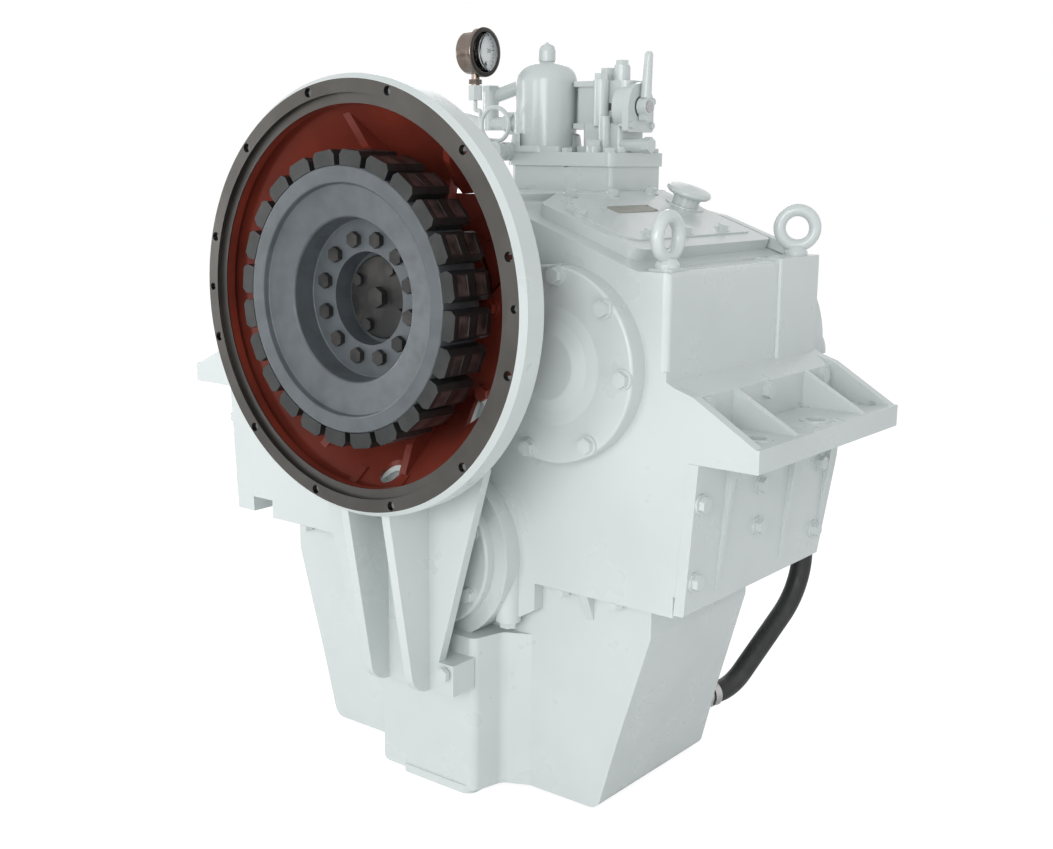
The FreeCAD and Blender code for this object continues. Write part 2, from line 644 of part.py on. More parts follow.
def lower_housing():
    """Oil pan with the lower half of the output bearing seats."""
    f = SPLIT_Z - SUMP_FLANGE
    behind = plate_x([(sump_rear_y(SPLIT_Z + 5), SPLIT_Z + 5), (SUMP_REAR_Y + 5, SPLIT_Z + 5),
                      (SUMP_REAR_Y + 5, SUMP_BOTTOM_Z - 5), (sump_rear_y(SUMP_BOTTOM_Z - 5),
                                                             SUMP_BOTTOM_Z - 5)],
                     -420, 420)
    flange = plate_z([(-372, FRONT_Y), (373.5, FRONT_Y, 3), (366, 560, 20), (300, REAR_Y - 6, 10),
                      (-300, REAR_Y - 6, 10), (-372, 560, 20)], f, SPLIT_Z)
    wing = [(-330, f + 2), (-330, -432, 20), (-283, -585, 60), (-252, SUMP_BOTTOM_Z, 18),
            (252, SUMP_BOTTOM_Z, 18),
            (283, -585, 60), (330, -432, 20), (330, f + 2)]
    pan = plate_y(wing, SUMP_FRONT_Y, SUMP_REAR_Y).cut(behind)
    step = plate_z([(-BOX_HALF, SUMP_FRONT_Y + 10), (-BOX_HALF, BOX_FRONT_Y, 6), (BOX_HALF, BOX_FRONT_Y, 12),
                    (BOX_HALF + 12, SUMP_FRONT_Y - 18, 16), (BOX_HALF + 70, SUMP_FRONT_Y + 10)],
                   SUMP_BOTTOM_Z, -470)
    step_left = plate_z([(-BOX_HALF, BOX_FRONT_Y + 14), (-BOX_HALF - 12, SUMP_FRONT_Y - 18, 16),
                         (-BOX_HALF - 70, SUMP_FRONT_Y + 10), (-BOX_HALF, SUMP_FRONT_Y + 10)],
                        SUMP_BOTTOM_Z, -470)
    rear = plate_y([(-170, f + 2), (-170, -470, 60), (-110, -520, 40), (110, -520, 40), (170, -470, 60),
                    (170, f + 2)],
                   SUMP_REAR_Y - 36, REAR_Y - 14)
    below = brick(-400, 400, 100, 700, -600, SPLIT_Z)
    half_out = rod_y(OUT_BOSS_R, OUT_COVER_Y + 16, FRONT_Y + 40, OUTPUT)
    half_out = half_out.fuse(rod_y(OUT_BOSS_R, REAR_BEARING_Y - 4, REAR_Y, OUTPUT)).common(below)
    pieces = [flange, pan, step, step_left, rear]
    lug = plate_y([(66, SPLIT_Z), (66, LUG_BOTTOM_Z + 8), (LUG_X + 18, LUG_BOTTOM_Z + 8), (154, -426),
                   (154, SPLIT_Z)],
                  FRONT_Y, SUMP_FRONT_Y + 4)
    pieces.append(lug)
    pieces.append(rod(LUG_R, (LUG_X, FRONT_Y, LUG_BOTTOM_Z), (LUG_X, FRONT_Y, SPLIT_Z)))
    pieces.append(plate_z([(-44, BOX_FRONT_Y - 3, 8), (BOX_HALF - 4, BOX_FRONT_Y - 3, 16),
                           (BOX_HALF - 4, BOX_FRONT_Y + 44, 8),
                           (-44, BOX_FRONT_Y + 44, 8)], SUMP_BOTTOM_Z - 6, SUMP_BOTTOM_Z + 6))
    for x in (228.0, -240.0):
        pieces.append(plate_x([(FRONT_Y + 1, f + 1), (SUMP_FRONT_Y + 2, f - 44), (SUMP_FRONT_Y + 2,
                                                                                  f + 1)], x, x + 12))
    body = fused(pieces)
    inner = [(-316, SPLIT_Z + 1), (-316, -430, 16), (-271, -578, 50), (-242, SUMP_BOTTOM_Z + 14, 10),
             (242, SUMP_BOTTOM_Z + 14, 10), (271, -578, 50), (316, -430, 16), (316, SPLIT_Z + 1)]
    behind.translate(V(0, -WALL, 0))
    hollow = plate_y(inner, SUMP_FRONT_Y + 14, SUMP_REAR_Y - WALL).cut(behind)
    hollow = hollow.fuse(brick(-BOX_HALF + 12, BOX_HALF - 12, BOX_FRONT_Y + 14, SUMP_FRONT_Y + 16,
                               SUMP_BOTTOM_Z + 14, -545))
    hollow = hollow.fuse(plate_y([(-156, SPLIT_Z + 1), (-156, -462, 50), (-104, -506, 36), (104, -506, 36),
                                  (156, -462, 50), (156, SPLIT_Z + 1)], SUMP_REAR_Y - 50, REAR_BEARING_Y - 6))
    body = body.cut(hollow)
    body = body.fuse(half_out).removeSplitter()
    out_race = bearing_outer_r(OUT_NECK_R)
    gear_tip = OUTPUT_TEETH * GEAR_MODULE / 2 + ADDENDUM
    cutters = [rod_y(out_race, OUT_FRONT_Y - 60, OUT_FRONT_Y + BEARING_W + 40, OUTPUT),
               rod_y(out_race, REAR_BEARING_Y - 20, REAR_Y + 10, OUTPUT),
               rod_y(gear_tip + 4, OUTPUT_GEAR_Y[0] - 12, OUTPUT_GEAR_Y[1] + 12, OUTPUT),
               hose_hole(),
               rod_y(11.0, SUMP_REAR_Y - 30, SUMP_REAR_Y + 2, (-120.0, SUMP_BOTTOM_Z + 34))]
    corner = brick(-BOX_HALF - 1, -BOX_HALF + 14, BOX_FRONT_Y - 1, BOX_FRONT_Y + 14, SUMP_BOTTOM_Z - 1,
                   SUMP_BOTTOM_Z + 14)
    cutters.append(corner.cut(rod_y(14.0, BOX_FRONT_Y - 2, BOX_FRONT_Y + 15, (-BOX_HALF + 14,
                                                                              SUMP_BOTTOM_Z + 14))))
    for place in BUTTRESS_BOLTS:
        cutters.append(rod_y(6.0, BOX_FRONT_Y - 1, BOX_FRONT_Y + 16, place))
    for seat, way, size, length in split_places():
        cutters.append(shank_hole(seat, way, size, length))
    for seat in out_cover_bolts():
        cutters.append(shank_hole(seat, (0, -1, 0), 12, 34))
    cutters.append(rod_y(OUT_COVER_R + 2, 100, OUT_COVER_Y + 16, OUTPUT))
    return cut_all(body, cutters)


def split_places():
    """Bolts that hold the oil pan: seat, direction, size, length."""
    f = SPLIT_Z - SUMP_FLANGE
    places = []
    for x in (-300.0, 196.0, 282.0):
        places.append(((x, FRONT_Y + 8, f), (0, 0, -1), 12, 44))
    places.append(((LUG_X, FRONT_Y, LUG_BOTTOM_Z), (0, 0, -1), 14, 106))
    for y in (300.0, 390.0, 500.0):
        places.append(((346.0, y, f), (0, 0, -1), 16, 44))
        places.append(((-350.0, y, f), (0, 0, -1), 16, 44))
    for x in (-240.0, 240.0):
        places.append(((x, REAR_Y - 18, f), (0, 0, -1), 16, 44))
    return places


def side_plate(side):
    """Bolted side cover with tapered upright ribs."""
    top = FOOT_BOTTOM_Z - SEAT
    face_top = plate_face_x(side, top)
    face_low = plate_face_x(side, HANG_Z)
    wall_top = RIGHT_WALL_TOP if side > 0 else LEFT_WALL_TOP
    wall_low = RIGHT_WALL_LOW if side > 0 else LEFT_WALL_LOW
    body = plate_y([(wall_top, top), (face_top, top), (face_low, HANG_Z, 3), (wall_low, HANG_Z)],
                   FRONT_Y, 588)
    trim = plate_x([(588, -242), (556, HANG_Z - 20), (620, HANG_Z - 20), (620, -242)], -600, 600)
    body = body.cut(trim)
    pieces = [body]
    for y in PLATE_RIBS_Y:
        low = -366 if y < 545 else -335
        rib = plate_y([(face_top - side * 6, top), (face_top + side * 11, top),
                       (plate_face_x(side, low) + side * 1.5, low),
                       (plate_face_x(side, low) - side * 6, low)], y - 4, y + 4)
        pieces.append(rib)
    whole = fused(pieces)
    cutters = []
    for seat in side_plate_places(side):
        way = (side, 0, 0)
        cutters.append(shank_hole(seat, way, 12, 60, 0.5))
    whole = cut_all(whole, cutters)
    pads = []
    for x, y, z in side_plate_places(side):
        pad = rod(13.0, (x, y, z), (x - side * 7, y, z)).cut(rod(6.5, (x + side, y, z), (x - side * 8, y, z)))
        pads.append(pad)
    wall = plate_y([(wall_top, top), (wall_top - side * 40, top), (wall_low - side * 40, HANG_Z - 2),
                    (wall_low, HANG_Z - 2)], FRONT_Y - 2, 590)
    return fused([whole] + pads).cut(wall)


def cover_frame():
    """Outline of the inclined cover, the way it is placed on the roof, and the direction square to it."""
    along, square = slope_vectors()
    seat = V(96, 0, roof_z(96) + 8)
    width = (V(284, 0, roof_z(284) + 8) - seat).Length
    front = FRONT_Y + 34
    outline = [(0.3, front + 76, 10), (34, front, 14), (width, front, 22), (width, REAR_Y - 19, 14),
               (0.3, REAR_Y - 19, 6)]

    def place(u, v):
        return seat + along * u + V(0, v, 0)
    return outline, place, square


def top_cover():
    """Inclined inspection cover on the right roof."""
    outline, place, square = cover_frame()
    body = Part.Face(wire(outline, place)).extrude(square * 8.0)
    raised = Part.Face(wire([(26, 300, 10), (58, 246, 10), (172, 246, 24), (172, REAR_Y - 34, 14),
                             (26, REAR_Y - 34, 10)], place)).extrude(square * 10.0)
    pieces = [body, raised]
    for x, y in top_cover_places():
        centre = V(x, y, roof_z(x) + 8)
        pieces.append(Part.makeCylinder(11.0, 11.0, centre, square))
    neck = V(BREATHER[0], BREATHER[1], roof_z(BREATHER[0]) + 8)
    pieces.append(Part.makeCylinder(29.0, 11.5, neck, square))
    whole = fused(pieces)
    edge = brick(90, 95.9, 150, 700, 0, 200)
    cutters = [edge, Part.makeCylinder(17.0, 60.0, neck - square * 20, square)]
    for x, y in top_cover_places():
        centre = V(x, y, roof_z(x) + 8)
        cutters.append(Part.makeCylinder(5.5, 30.0, centre - square * 5, square))
    return cut_all(whole, cutters)


def filler_neck():
    """Breather neck on the inclined cover."""
    square = slope_vectors()[1]
    foot = V(BREATHER[0], BREATHER[1], roof_z(BREATHER[0]) + 8) + square * 11.5
    body = Part.makeCylinder(20.0, BREATHER_STEM - 11.8, foot, square)
    body = body.fuse(Part.makeCylinder(16.8, 20.0, foot - square * 17.5, square)).removeSplitter()
    return body.cut(Part.makeCylinder(12.0, 60.0, foot - square * 25, square))


def filler_cap():
    """Mushroom cap of the breather."""
    square = slope_vectors()[1]
    foot = V(BREATHER[0], BREATHER[1], roof_z(BREATHER[0]) + 8) + square * BREATHER_STEM
    cap = turned_z([(0, 0), (22, 0), (22, 4), (30, 4), (34, 8, 3), (32, 13, 3), (0, 18)], 0, 0)
    turn = FreeCAD.Rotation(V(0, 0, 1), square)
    cap.Placement = FreeCAD.Placement(foot, turn)
    return cap


def valve_pedestal():
    """Hollow base that carries the filter and the control valve."""
    x0 = PEDESTAL_LEFT
    x1 = PEDESTAL_RIGHT
    y0 = PEDESTAL_FRONT
    y1 = PEDESTAL_REAR
    bottom = ROOF_Z
    wall = plate_z([(x0 + 6, y0 + 6, 8), (x1, y0 + 6, 8), (x1, y1, 8), (x0 + 6, y1, 8)], bottom,
                   PEDESTAL_TOP - 6)
    top = plate_z([(x0, y0, 12), (x1 + 4, y0, 12), (x1 + 4, y1 + 3, 10), (x0, y1 + 3, 10)],
                  PEDESTAL_TOP - PEDESTAL_FLANGE, PEDESTAL_TOP)
    base = plate_z([(x0 - 6, y0 - 4, 10), (x1 + 6, y0 - 4, 10), (x1 + 6, y1 + 6, 10), (x0 - 6, y1 + 6, 10)],
                   bottom, bottom + 1)
    body = fused([wall, top, base])
    hollow = plate_z([(x0 + 20, y0 + 20), (x1 - 14, y0 + 20), (x1 - 14, y1 - 14), (x0 + 20, y1 - 14)],
                     bottom - 1, PEDESTAL_TOP - PEDESTAL_FLANGE)
    body = body.cut(hollow)
    cutters = []
    for seat in pedestal_places():
        cutters.append(shank_hole(seat, (0, 0, 1), 10, 22))
    return cut_all(body, cutters)


def pedestal_places():
    """Bolt seats on the pedestal top."""
    return [(-1.0, 459.0, PEDESTAL_TOP), (74.0, 462.0, PEDESTAL_TOP), (74.0, 580.0, PEDESTAL_TOP),
            (0.0, 580.0, PEDESTAL_TOP), (-100.0, 580.0, PEDESTAL_TOP)]


def input_seal_housing():
    """Carrier of the input oil seal."""
    return turned([(47, FRONT_Y - 44), (60, FRONT_Y - 44, 3), (66, FRONT_Y - 14, 6), (81, FRONT_Y - 12,
                                                                                      2), (81, FRONT_Y),
                   (bearing_outer_r(NECK_SHAFT_R) - 7, FRONT_Y), (bearing_outer_r(NECK_SHAFT_R) - 7,
                                                                  INPUT_FRONT_Y),
                   (58, INPUT_FRONT_Y), (58, FRONT_Y - 26), (47, FRONT_Y - 26)])


def side_front_cover():
    """Round front cover of the transmission shaft."""
    y = SIDE_COVER_Y
    body = turned([(0, y - 11), (44, y - 11, 6), (62, y - 4, 6), (78, y, 6), (SIDE_BOSS_R, y, 4),
                   (SIDE_BOSS_R, y + 13), (60, y + 13),
                   (60, y + 8), (0, y + 8)], SIDE)
    pads = []
    for x, yy, z in side_cover_bolts():
        pads.append(rod_y(13.0, yy, y + 2, (x, z)))
    whole = fused([body] + pads)
    return cut_all(whole, [shank_hole(seat, (0, -1, 0), 12, 20, 0.5) for seat in side_cover_bolts()])


def output_front_cover():
    """Round front cover of the output shaft."""
    y = OUT_COVER_Y
    body = turned([(0, y), (OUT_COVER_R, y, 4), (OUT_COVER_R, y + 16), (66, y + 16), (66, y + 10),
                   (0, y + 10)], OUTPUT)
    pads = [rod_y(11.0, yy, y + 2, (x, z)) for x, yy, z in out_cover_bolts()]
    whole = fused([body] + pads)
    return cut_all(whole, [shank_hole(seat, (0, -1, 0), 12, 24, 0.5) for seat in out_cover_bolts()])


def input_rear_cover():
    """Rear cover of the input shaft."""
    y = REAR_Y
    race = bearing_outer_r(NECK_SHAFT_R)
    return turned([(0, y + 16), (60, y + 16, 4), (race + 10, y + 10, 3), (race + 10, y),
                   (race - 0.05, y), (race - 0.05, y - 11.7), (58, y - 11.7),
                   (58, y + 6), (0, y + 6)])


def side_rear_cover():
    """Rear cover of the transmission shaft, seat of the oil pump."""
    y = REAR_Y
    race = bearing_outer_r(NECK_SHAFT_R)
    rim = y + REAR_COVER_DEPTH
    body = turned([(30, rim + 4), (96, rim + 4, 2), (100, rim), (REAR_COVER_R, rim, 5), (REAR_COVER_R, y),
                   (race - 0.05, y), (race - 0.05, y - 11.7), (58, y - 11.7), (58, rim - 10),
                   (30, rim - 10)], SIDE)
    limit = brick(race + 12, 600, y - 20, y + 80, -400, 300)
    keep = body.common(limit.fuse(rod_y(92.0, y - 20, y + 80, SIDE)))
    holes = [shank_hole(seat, (0, 1, 0), 12, REAR_COVER_DEPTH + 4, 0.5) for seat in rear_cover_bolts()]
    return cut_all(keep, holes)


def rear_cover_bolts():
    """Bolt seats on the transmission rear cover."""
    places = []
    for x, z in around(8, REAR_COVER_R - 13, 12.0, SIDE):
        if x > 110:
            places.append((x, REAR_Y + REAR_COVER_DEPTH, z))
    return places


def output_seal_housing():
    """Rear cover of the output shaft with its oil seal seat."""
    y = REAR_Y
    race = bearing_outer_r(OUT_NECK_R)
    return turned([(66, y + 30), (96, y + 30, 4), (104, y + 14, 4), (OUT_BOSS_R, y + 14),
                   (OUT_BOSS_R, y), (race - 0.05, y),
                   (race - 0.05, y - 11.7), (72, y - 11.7), (72, y + 16), (66, y + 16)], OUTPUT)


def oil_seals():
    """Rubber lip seals of the input and output shafts."""
    first = ring_y(47.0, 40.0 + RUNNING, FRONT_Y - 42, FRONT_Y - 30)
    second = ring_y(66.0, OUT_NECK_R - 4 + RUNNING, REAR_Y + 17, REAR_Y + 29, OUTPUT)
    return group([first, second])


def bearings():
    """All bearings: outer rings and the parts that turn with each shaft."""
    outers = []
    turning = {}
    for name, axis, neck, front in (("input", INPUT, NECK_SHAFT_R, INPUT_FRONT_Y),
                                    ("side", SIDE, NECK_SHAFT_R, SIDE_FRONT_Y),
                                    ("output", OUTPUT, OUT_NECK_R, OUT_FRONT_Y)):
        moving = []
        for y0 in (front, REAR_BEARING_Y):
            outer, bodies = bearing(axis, y0, neck, 14)
            outers.append(outer)
            moving += bodies
        turning[name] = group(moving)
    return group(outers), turning


def coupling_disc():
    """Dished front disc of the rubber coupling."""
    body = turned([(60, 34), (102, 34, 2), (104, 2, 4), (145, -5, 2), (147, -13, 2), (DISC_R, -13, 2),
                   (DISC_R, -4), (151, -4),
                   (148, 4), (114, 12), (114, 46), (60, 46)])
    holes = [rod_y(6.0, 30, 50, place) for place in around(HUB_BOLTS, HUB_BOLT_PCR, 13.7)]
    return cut_all(body, holes)


def coupling_carrier():
    """Hub and rim that carry the rubber blocks."""
    body = turned([(HUB_BORE_R, 62), (60, 62), (60, 46), (152, 46), (152, -4), (DISC_R, -4),
                   (DISC_R, 53), (150, 58),
                   (80, 62, 6), (62, 76, 6), (62, 128), (HUB_BORE_R, 128)])
    holes = [rod_y(6.0, 44, 66, place) for place in around(HUB_BOLTS, HUB_BOLT_PCR, 13.7)]
    holes += [rod_y(5.0, 60, 76, place) for place in around(4, END_BOLT_PCR, END_BOLT_PHASE)]
    return cut_all(body, holes)


def rubber_blocks():
    """Two rows of rubber blocks seated on the carrier rim."""
    blocks = []
    rim = rod_y(DISC_R, -40, 80)
    half = BLOCK_WIDTH / 2
    base = plate_y([(-half + 2, DISC_R - 4), (-half, BLOCK_R - 7), (-half + 5, BLOCK_R),
                    (half - 5, BLOCK_R), (half, BLOCK_R - 7),
                    (half - 2, DISC_R - 4)], 0, 33).cut(rim)
    for row_y in (-13.0, 20.3):
        for i in range(BLOCKS):
            block = base.copy()
            block.translate(V(0, row_y, 0))
            block.rotate(V(0, 0, 0), V(0, 1, 0), BLOCK_PHASE + 360.0 * i / BLOCKS)
            blocks.append(block)
    return group(blocks)


def coupling_bolts():
    """Hexagon bolts of the coupling."""
    bolts = [bolt((x, 34, z), (0, -1, 0), 12, 30) for x, z in around(HUB_BOLTS, HUB_BOLT_PCR, 13.7)]
    bolts += [bolt((x, 56, z), (0, -1, 0), 10, 18) for x, z in around(4, END_BOLT_PCR, END_BOLT_PHASE)]
    bolts.append(bolt((0, 56, 0), (0, -1, 0), 16, 24))
    return group(bolts)


def coupling_end_plate():
    """Retaining washer on the input shaft end."""
    plate = turned([(0, 56), (54, 56, 2), (54, 62), (0, 62)])
    holes = [rod_y(5.0, 50, 70, place) for place in around(4, END_BOLT_PCR, END_BOLT_PHASE)]
    holes.append(rod_y(8.0, 50, 70))
    return cut_all(plate, holes)


def input_shaft():
    """Stepped input shaft with a tapped front end."""
    end = REAR_BEARING_Y + BEARING_W + 4
    body = turned([(0, 62), (HUB_BORE_R, 62), (HUB_BORE_R, 128), (40, 129), (40, FRONT_Y - 20, 2),
                   (NECK_SHAFT_R, INPUT_FRONT_Y - 4), (NECK_SHAFT_R, 236), (SHAFT_R, 238),
                   (SHAFT_R, 532), (NECK_SHAFT_R, 534), (NECK_SHAFT_R, end), (0, end)])
    return body.cut(rod_y(8.0, 60, 82))


def side_shaft():
    """Transmission shaft carried beside the input shaft."""
    start = SIDE_FRONT_Y - 4
    end = REAR_BEARING_Y + BEARING_W + 4
    return turned([(0, start), (NECK_SHAFT_R, start), (NECK_SHAFT_R, 236), (SHAFT_R, 238),
                   (SHAFT_R, 532), (NECK_SHAFT_R, 534),
                   (NECK_SHAFT_R, end), (22, end + 2), (22, PUMP_Y + 6), (11, PUMP_Y + 6), (11, PUMP_Y + 40),
                   (0, PUMP_Y + 40)], SIDE)


def clutch_drum(axis, angle):
    """Clutch drum with its driving gear ring cut on the outside."""
    y0, y1 = DRUM_Y
    teeth = gear(DRIVE_TEETH, GEAR_MODULE, DRIVE_GEAR_Y[0], DRIVE_GEAR_Y[1], axis, angle, 0)
    skin = rod_y(DRUM_R, DRIVE_GEAR_Y[1] - 2, y1, axis)
    body = teeth.fuse(skin)
    body = body.cut(rod_y(DRUM_BORE, y0 + 12, y1 - 14, axis))
    body = body.cut(rod_y(HUB_R + 3, y0 - 1, y0 + 14, axis))
    body = body.cut(rod_y(SHAFT_R, y0, y1 + 1, axis))
    return body.removeSplitter()


def pinion(teeth, axis, angle, bore):
    """Pinion with the sleeve that reaches into the clutch drum."""
    body = gear(teeth, GEAR_MODULE, PINION_Y[0], PINION_Y[1], axis, angle, 0)
    body = body.fuse(rod_y(HUB_R, PINION_Y[1] - 1, 462, axis)).removeSplitter()
    return body.cut(rod_y(bore, 200, 560, axis))


def clutch_plates(axis):
    """Outer steel plates and inner lined plates of one clutch."""
    steel = []
    lined = []
    for i in range(5):
        y = 392.0 + 12.0 * i
        steel.append(ring_y(DRUM_BORE - 0.1, HUB_R + 3, y, y + 5.6, axis))
        lined.append(ring_y(DRUM_BORE - 3, HUB_R, y + 6.0, y + 11.6, axis))
    return steel, lined


def clutch_piston(axis):
    """Ring piston that presses the plates together."""
    y = 464.0
    return turned([(SHAFT_R + 0.1, y + 2), (56, y + 2), (56, y + 16), (64, y + 16), (64, y - 11),
                   (DRUM_BORE - 0.1, y - 11), (DRUM_BORE - 0.1, y + 38),
                   (SHAFT_R + 0.1, y + 38)], axis)


def output_shaft():
    """Output shaft."""
    start = OUT_FRONT_Y - 8
    return turned([(0, start), (OUT_NECK_R, start), (OUT_NECK_R, 244), (OUT_SHAFT_R, 246),
                   (OUT_SHAFT_R, 520), (OUT_NECK_R, 524),
                   (OUT_NECK_R, REAR_Y + 2), (OUT_NECK_R - 4, REAR_Y + 4), (OUT_NECK_R - 4, REAR_Y + 116,
                                                                            2), (0, REAR_Y + 116)], OUTPUT)


def output_gear():
    """Large output wheel with a dished web."""
    y0, y1 = OUTPUT_GEAR_Y
    body = gear(OUTPUT_TEETH, GEAR_MODULE, y0, y1, OUTPUT, 0.0, OUT_SHAFT_R)
    groove = turned([(98, y0 - 1), (236, y0 - 1), (230, y0 + 26, 8), (104, y0 + 26, 8)], OUTPUT)
    back = turned([(98, y1 + 1), (236, y1 + 1), (230, y1 - 26, 8), (104, y1 - 26, 8)], OUTPUT)
    body = body.cut(groove).cut(back)
    holes = [rod_y(26.0, y0, y1, place) for place in around(6, 166.0, 30.0, OUTPUT)]
    return cut_all(body, holes)


def output_flange():
    """Output coupling flange."""
    y = REAR_Y + 44
    body = turned([(OUT_NECK_R - 4, y), (88, y, 3), (88, y + 42, 10), (160, y + 42, 3), (160, y + 72, 3),
                   (104, y + 72), (104, y + 67), (OUT_NECK_R - 4, y + 67)], OUTPUT)
    holes = [rod_y(11.0, y + 30, y + 80, place) for place in around(12, 135.0, 15.0, OUTPUT)]
    return cut_all(body, holes)


def pump_gears():
    """Oil pump gears: one on the transmission shaft, one idle."""
    y0 = PUMP_Y + 10
    y1 = y0 + 26
    centres = PUMP_TEETH * PUMP_MODULE
    other = (SIDE[0], SIDE[1] + centres)
    first = gear(PUMP_TEETH, PUMP_MODULE, y0, y1, SIDE, 0.0, 11.0, PUMP_ADDENDUM, PUMP_DEDENDUM)
    angle = mate_angle(0.0, PUMP_TEETH, PUMP_TEETH, 0.0)
    second = gear(PUMP_TEETH, PUMP_MODULE, y0, y1, other, angle, 0, PUMP_ADDENDUM, PUMP_DEDENDUM)
    second = second.fuse(rod_y(9.0, y0 - 8, y1 + 8, other)).removeSplitter()
    return first, second


def oil_pump_body():
    """Gear pump casing on the rear cover with its inlet elbow."""
    y0 = PUMP_Y
    y1 = y0 + 66
    centres = PUMP_TEETH * PUMP_MODULE
    other = (SIDE[0], SIDE[1] + centres)
    x, z = SIDE
    body = plate_y([(x - 44, z - 40, 30), (x + 44, z - 40, 30), (x + 44, z + centres + 40, 30),
                    (x - 44, z + centres + 40, 30)], y0, y1)
    hx, hy = HOSE_TOP
    elbow = pipe([V(x + 30, hy - 14, z), V(hx, hy, z), V(hx, hy, z - 28)], [24.0], 19.0)
    outlet = rod(14.0, (x - 40, y0 + 34, z + 30), (x - 58, y0 + 34, z + 30))
    body = fused([body, elbow, outlet])
    tip = PUMP_TEETH * PUMP_MODULE / 2 + PUMP_ADDENDUM + SEAT
    cutters = [rod_y(tip, y0 + 9.5, y0 + 36.5, SIDE), rod_y(tip, y0 + 9.5, y0 + 36.5, other),
               rod_y(22.5, y0 - 1, y0 + 10, SIDE), rod_y(11.3, y0 + 30, y0 + 42, SIDE),
               rod_y(9.0 + RUNNING, y0 + 1.7, y0 + 44.3, other),
               rod(HOSE_BORE_R, (hx, hy, z - 8), (hx, hy, z - 29)),
               rod(8.0, (x - 20, y0 + 34, z + 30), (x - 59, y0 + 34, z + 30))]
    return cut_all(body, cutters)


def hose_route():
    """Corner points of the suction hose between sump and pump."""
    foot = V(HOSE_FOOT_X, sump_rear_y(HOSE_LOW_Z), HOSE_LOW_Z)
    high = V(HOSE_TOP[0], HOSE_TOP[1], HOSE_TURN_Z)
    way = V(high.x - foot.x, high.y - foot.y, 0).normalize()
    start = foot + way * HOSE_TAIL
    low = foot + way * HOSE_LOW_RUN
    end = V(HOSE_TOP[0], HOSE_TOP[1], SIDE[1] - 62)
    return [start, low, high, end]


def route_wire(points, radii):
    """Straight runs joined by tangent arcs."""
    edges = []
    here = points[0]
    for i in range(1, len(points) - 1):
        corner = points[i]
        a = (points[i - 1] - corner).normalize()
        b = (points[i + 1] - corner).normalize()
        half = a.getAngle(b) / 2.0
        reach = radii[i - 1] / math.tan(half)
        start = corner + a * reach
        end = corner + b * reach
        middle_way = (a + b).normalize()
        centre = corner + middle_way * (radii[i - 1] / math.sin(half))
        middle = centre - middle_way * radii[i - 1]
        edges.append(Part.LineSegment(here, start).toShape())
        edges.append(Part.Arc(start, middle, end).toShape())
        here = end
    edges.append(Part.LineSegment(here, points[-1]).toShape())
    return Part.Wire(edges)


def pipe(points, radii, outer, inner=0.0):
    """Round pipe or bar along a route."""
    path = route_wire(points, radii)
    start = points[0]
    way = points[1] - points[0]
    ring = Part.Wire(Part.makeCircle(outer, start, way))
    body = path.makePipeShell([ring], True, False)
    if inner > 0:
        bore = path.makePipeShell([Part.Wire(Part.makeCircle(inner, start, way))], True, False)
        body = body.cut(bore)
    return body


def hose_hole():
    """Cutter for the hose tail in the rear wall of the pan."""
    start, low = hose_route()[:2]
    way = (low - start).normalize()
    return Part.makeCylinder(HOSE_BORE_R, 30.0, start - way * (HOSE_TAIL + 24.0), way)


def hose_fittings():
    """Straight hose tails at both ends with their clamps."""
    start, low, high, end = hose_route()
    pieces = []
    for place, other, length in ((start, low, HOSE_TAIL), (end, high, HOSE_TAIL)):
        way = (other - place).normalize()
        back = place - way * length
        seat = back + way * 6.0
        tail = Part.makeCylinder(HOSE_BORE_R, length + 14, back, way)
        nut = hexagon((seat.x, seat.y, seat.z), (way.x, way.y, way.z), 38, 12)
        collar = Part.makeCylinder(HOSE_R, length - 18, back + way * 18, way)
        body = tail.fuse([nut, collar]).removeSplitter()
        pieces.append(body.cut(Part.makeCylinder(9.0, length + 30, back - way * 2, way)))
        band = Part.makeCylinder(HOSE_R + 2.5, 12, place + way * 2, way)
        pieces.append(band.cut(Part.makeCylinder(HOSE_R, 20, place, way)))
    return group(pieces)


def filter_head():
    """Filter head block with its front port."""
    z0 = PEDESTAL_TOP
    x, y = FILTER_X, FILTER_Y
    base = plate_z([(PORT[0] - 15, y - 50, 24), (x + 62, y - 50, 10), (x + 62, y + 52, 24),
                    (PORT[0] - 15, y + 52, 24)], z0, z0 + 9)
    drum = turned_z([(0, z0), (BOWL_R + 10, z0), (BOWL_R + 6, z0 + HEAD_HEIGHT, 5),
                     (0, z0 + HEAD_HEIGHT)], x, y)
    notch = brick(-40, 40, -90, -20, z0 + 9, z0 + 40)
    notch.rotate(V(0, 0, 0), V(0, 0, 1), HEAD_NOTCH)
    notch.translate(V(x, y, 0))
    drum = drum.cut(notch)
    front = PEDESTAL_FRONT - SEAT
    port = rod(14.0, (BANJO[0], front, BANJO[2]), (BANJO[0], BANJO[1] + 7, BANJO[2]))
    arm = rod(14.0, (BANJO[0], y - 25, BANJO[2]), (BANJO[0], front - 1, BANJO[2]))
    arm = arm.common(brick(BANJO[0] - 20, BANJO[0] + 20, front - 1, y, z0, z0 + 30))
    left = rod(12.5, PORT, (PORT[0] - 14, PORT[1], PORT[2]))
    tower = rod(14.0, (PORT[0], PORT[1], z0 + 5), (PORT[0], PORT[1], PORT[2] + 16))
    body = fused([base, drum, port, arm, tower, left])
    cutters = [turned_z([(0, z0 + 8), (BOWL_R - 4, z0 + 8), (BOWL_R - 4, z0 + 40), (0, z0 + 40)], x, y),
               rod(5.0, (BANJO[0], BANJO[1], BANJO[2]), (BANJO[0], front - 1, BANJO[2])),
               turned_z([(BOWL_R - 4, z0 + 9), (BOWL_R, z0 + 9), (BOWL_R, z0 + 40),
                         (BOWL_R - 4, z0 + 40)], x, y)]
    return cut_all(body, cutters)


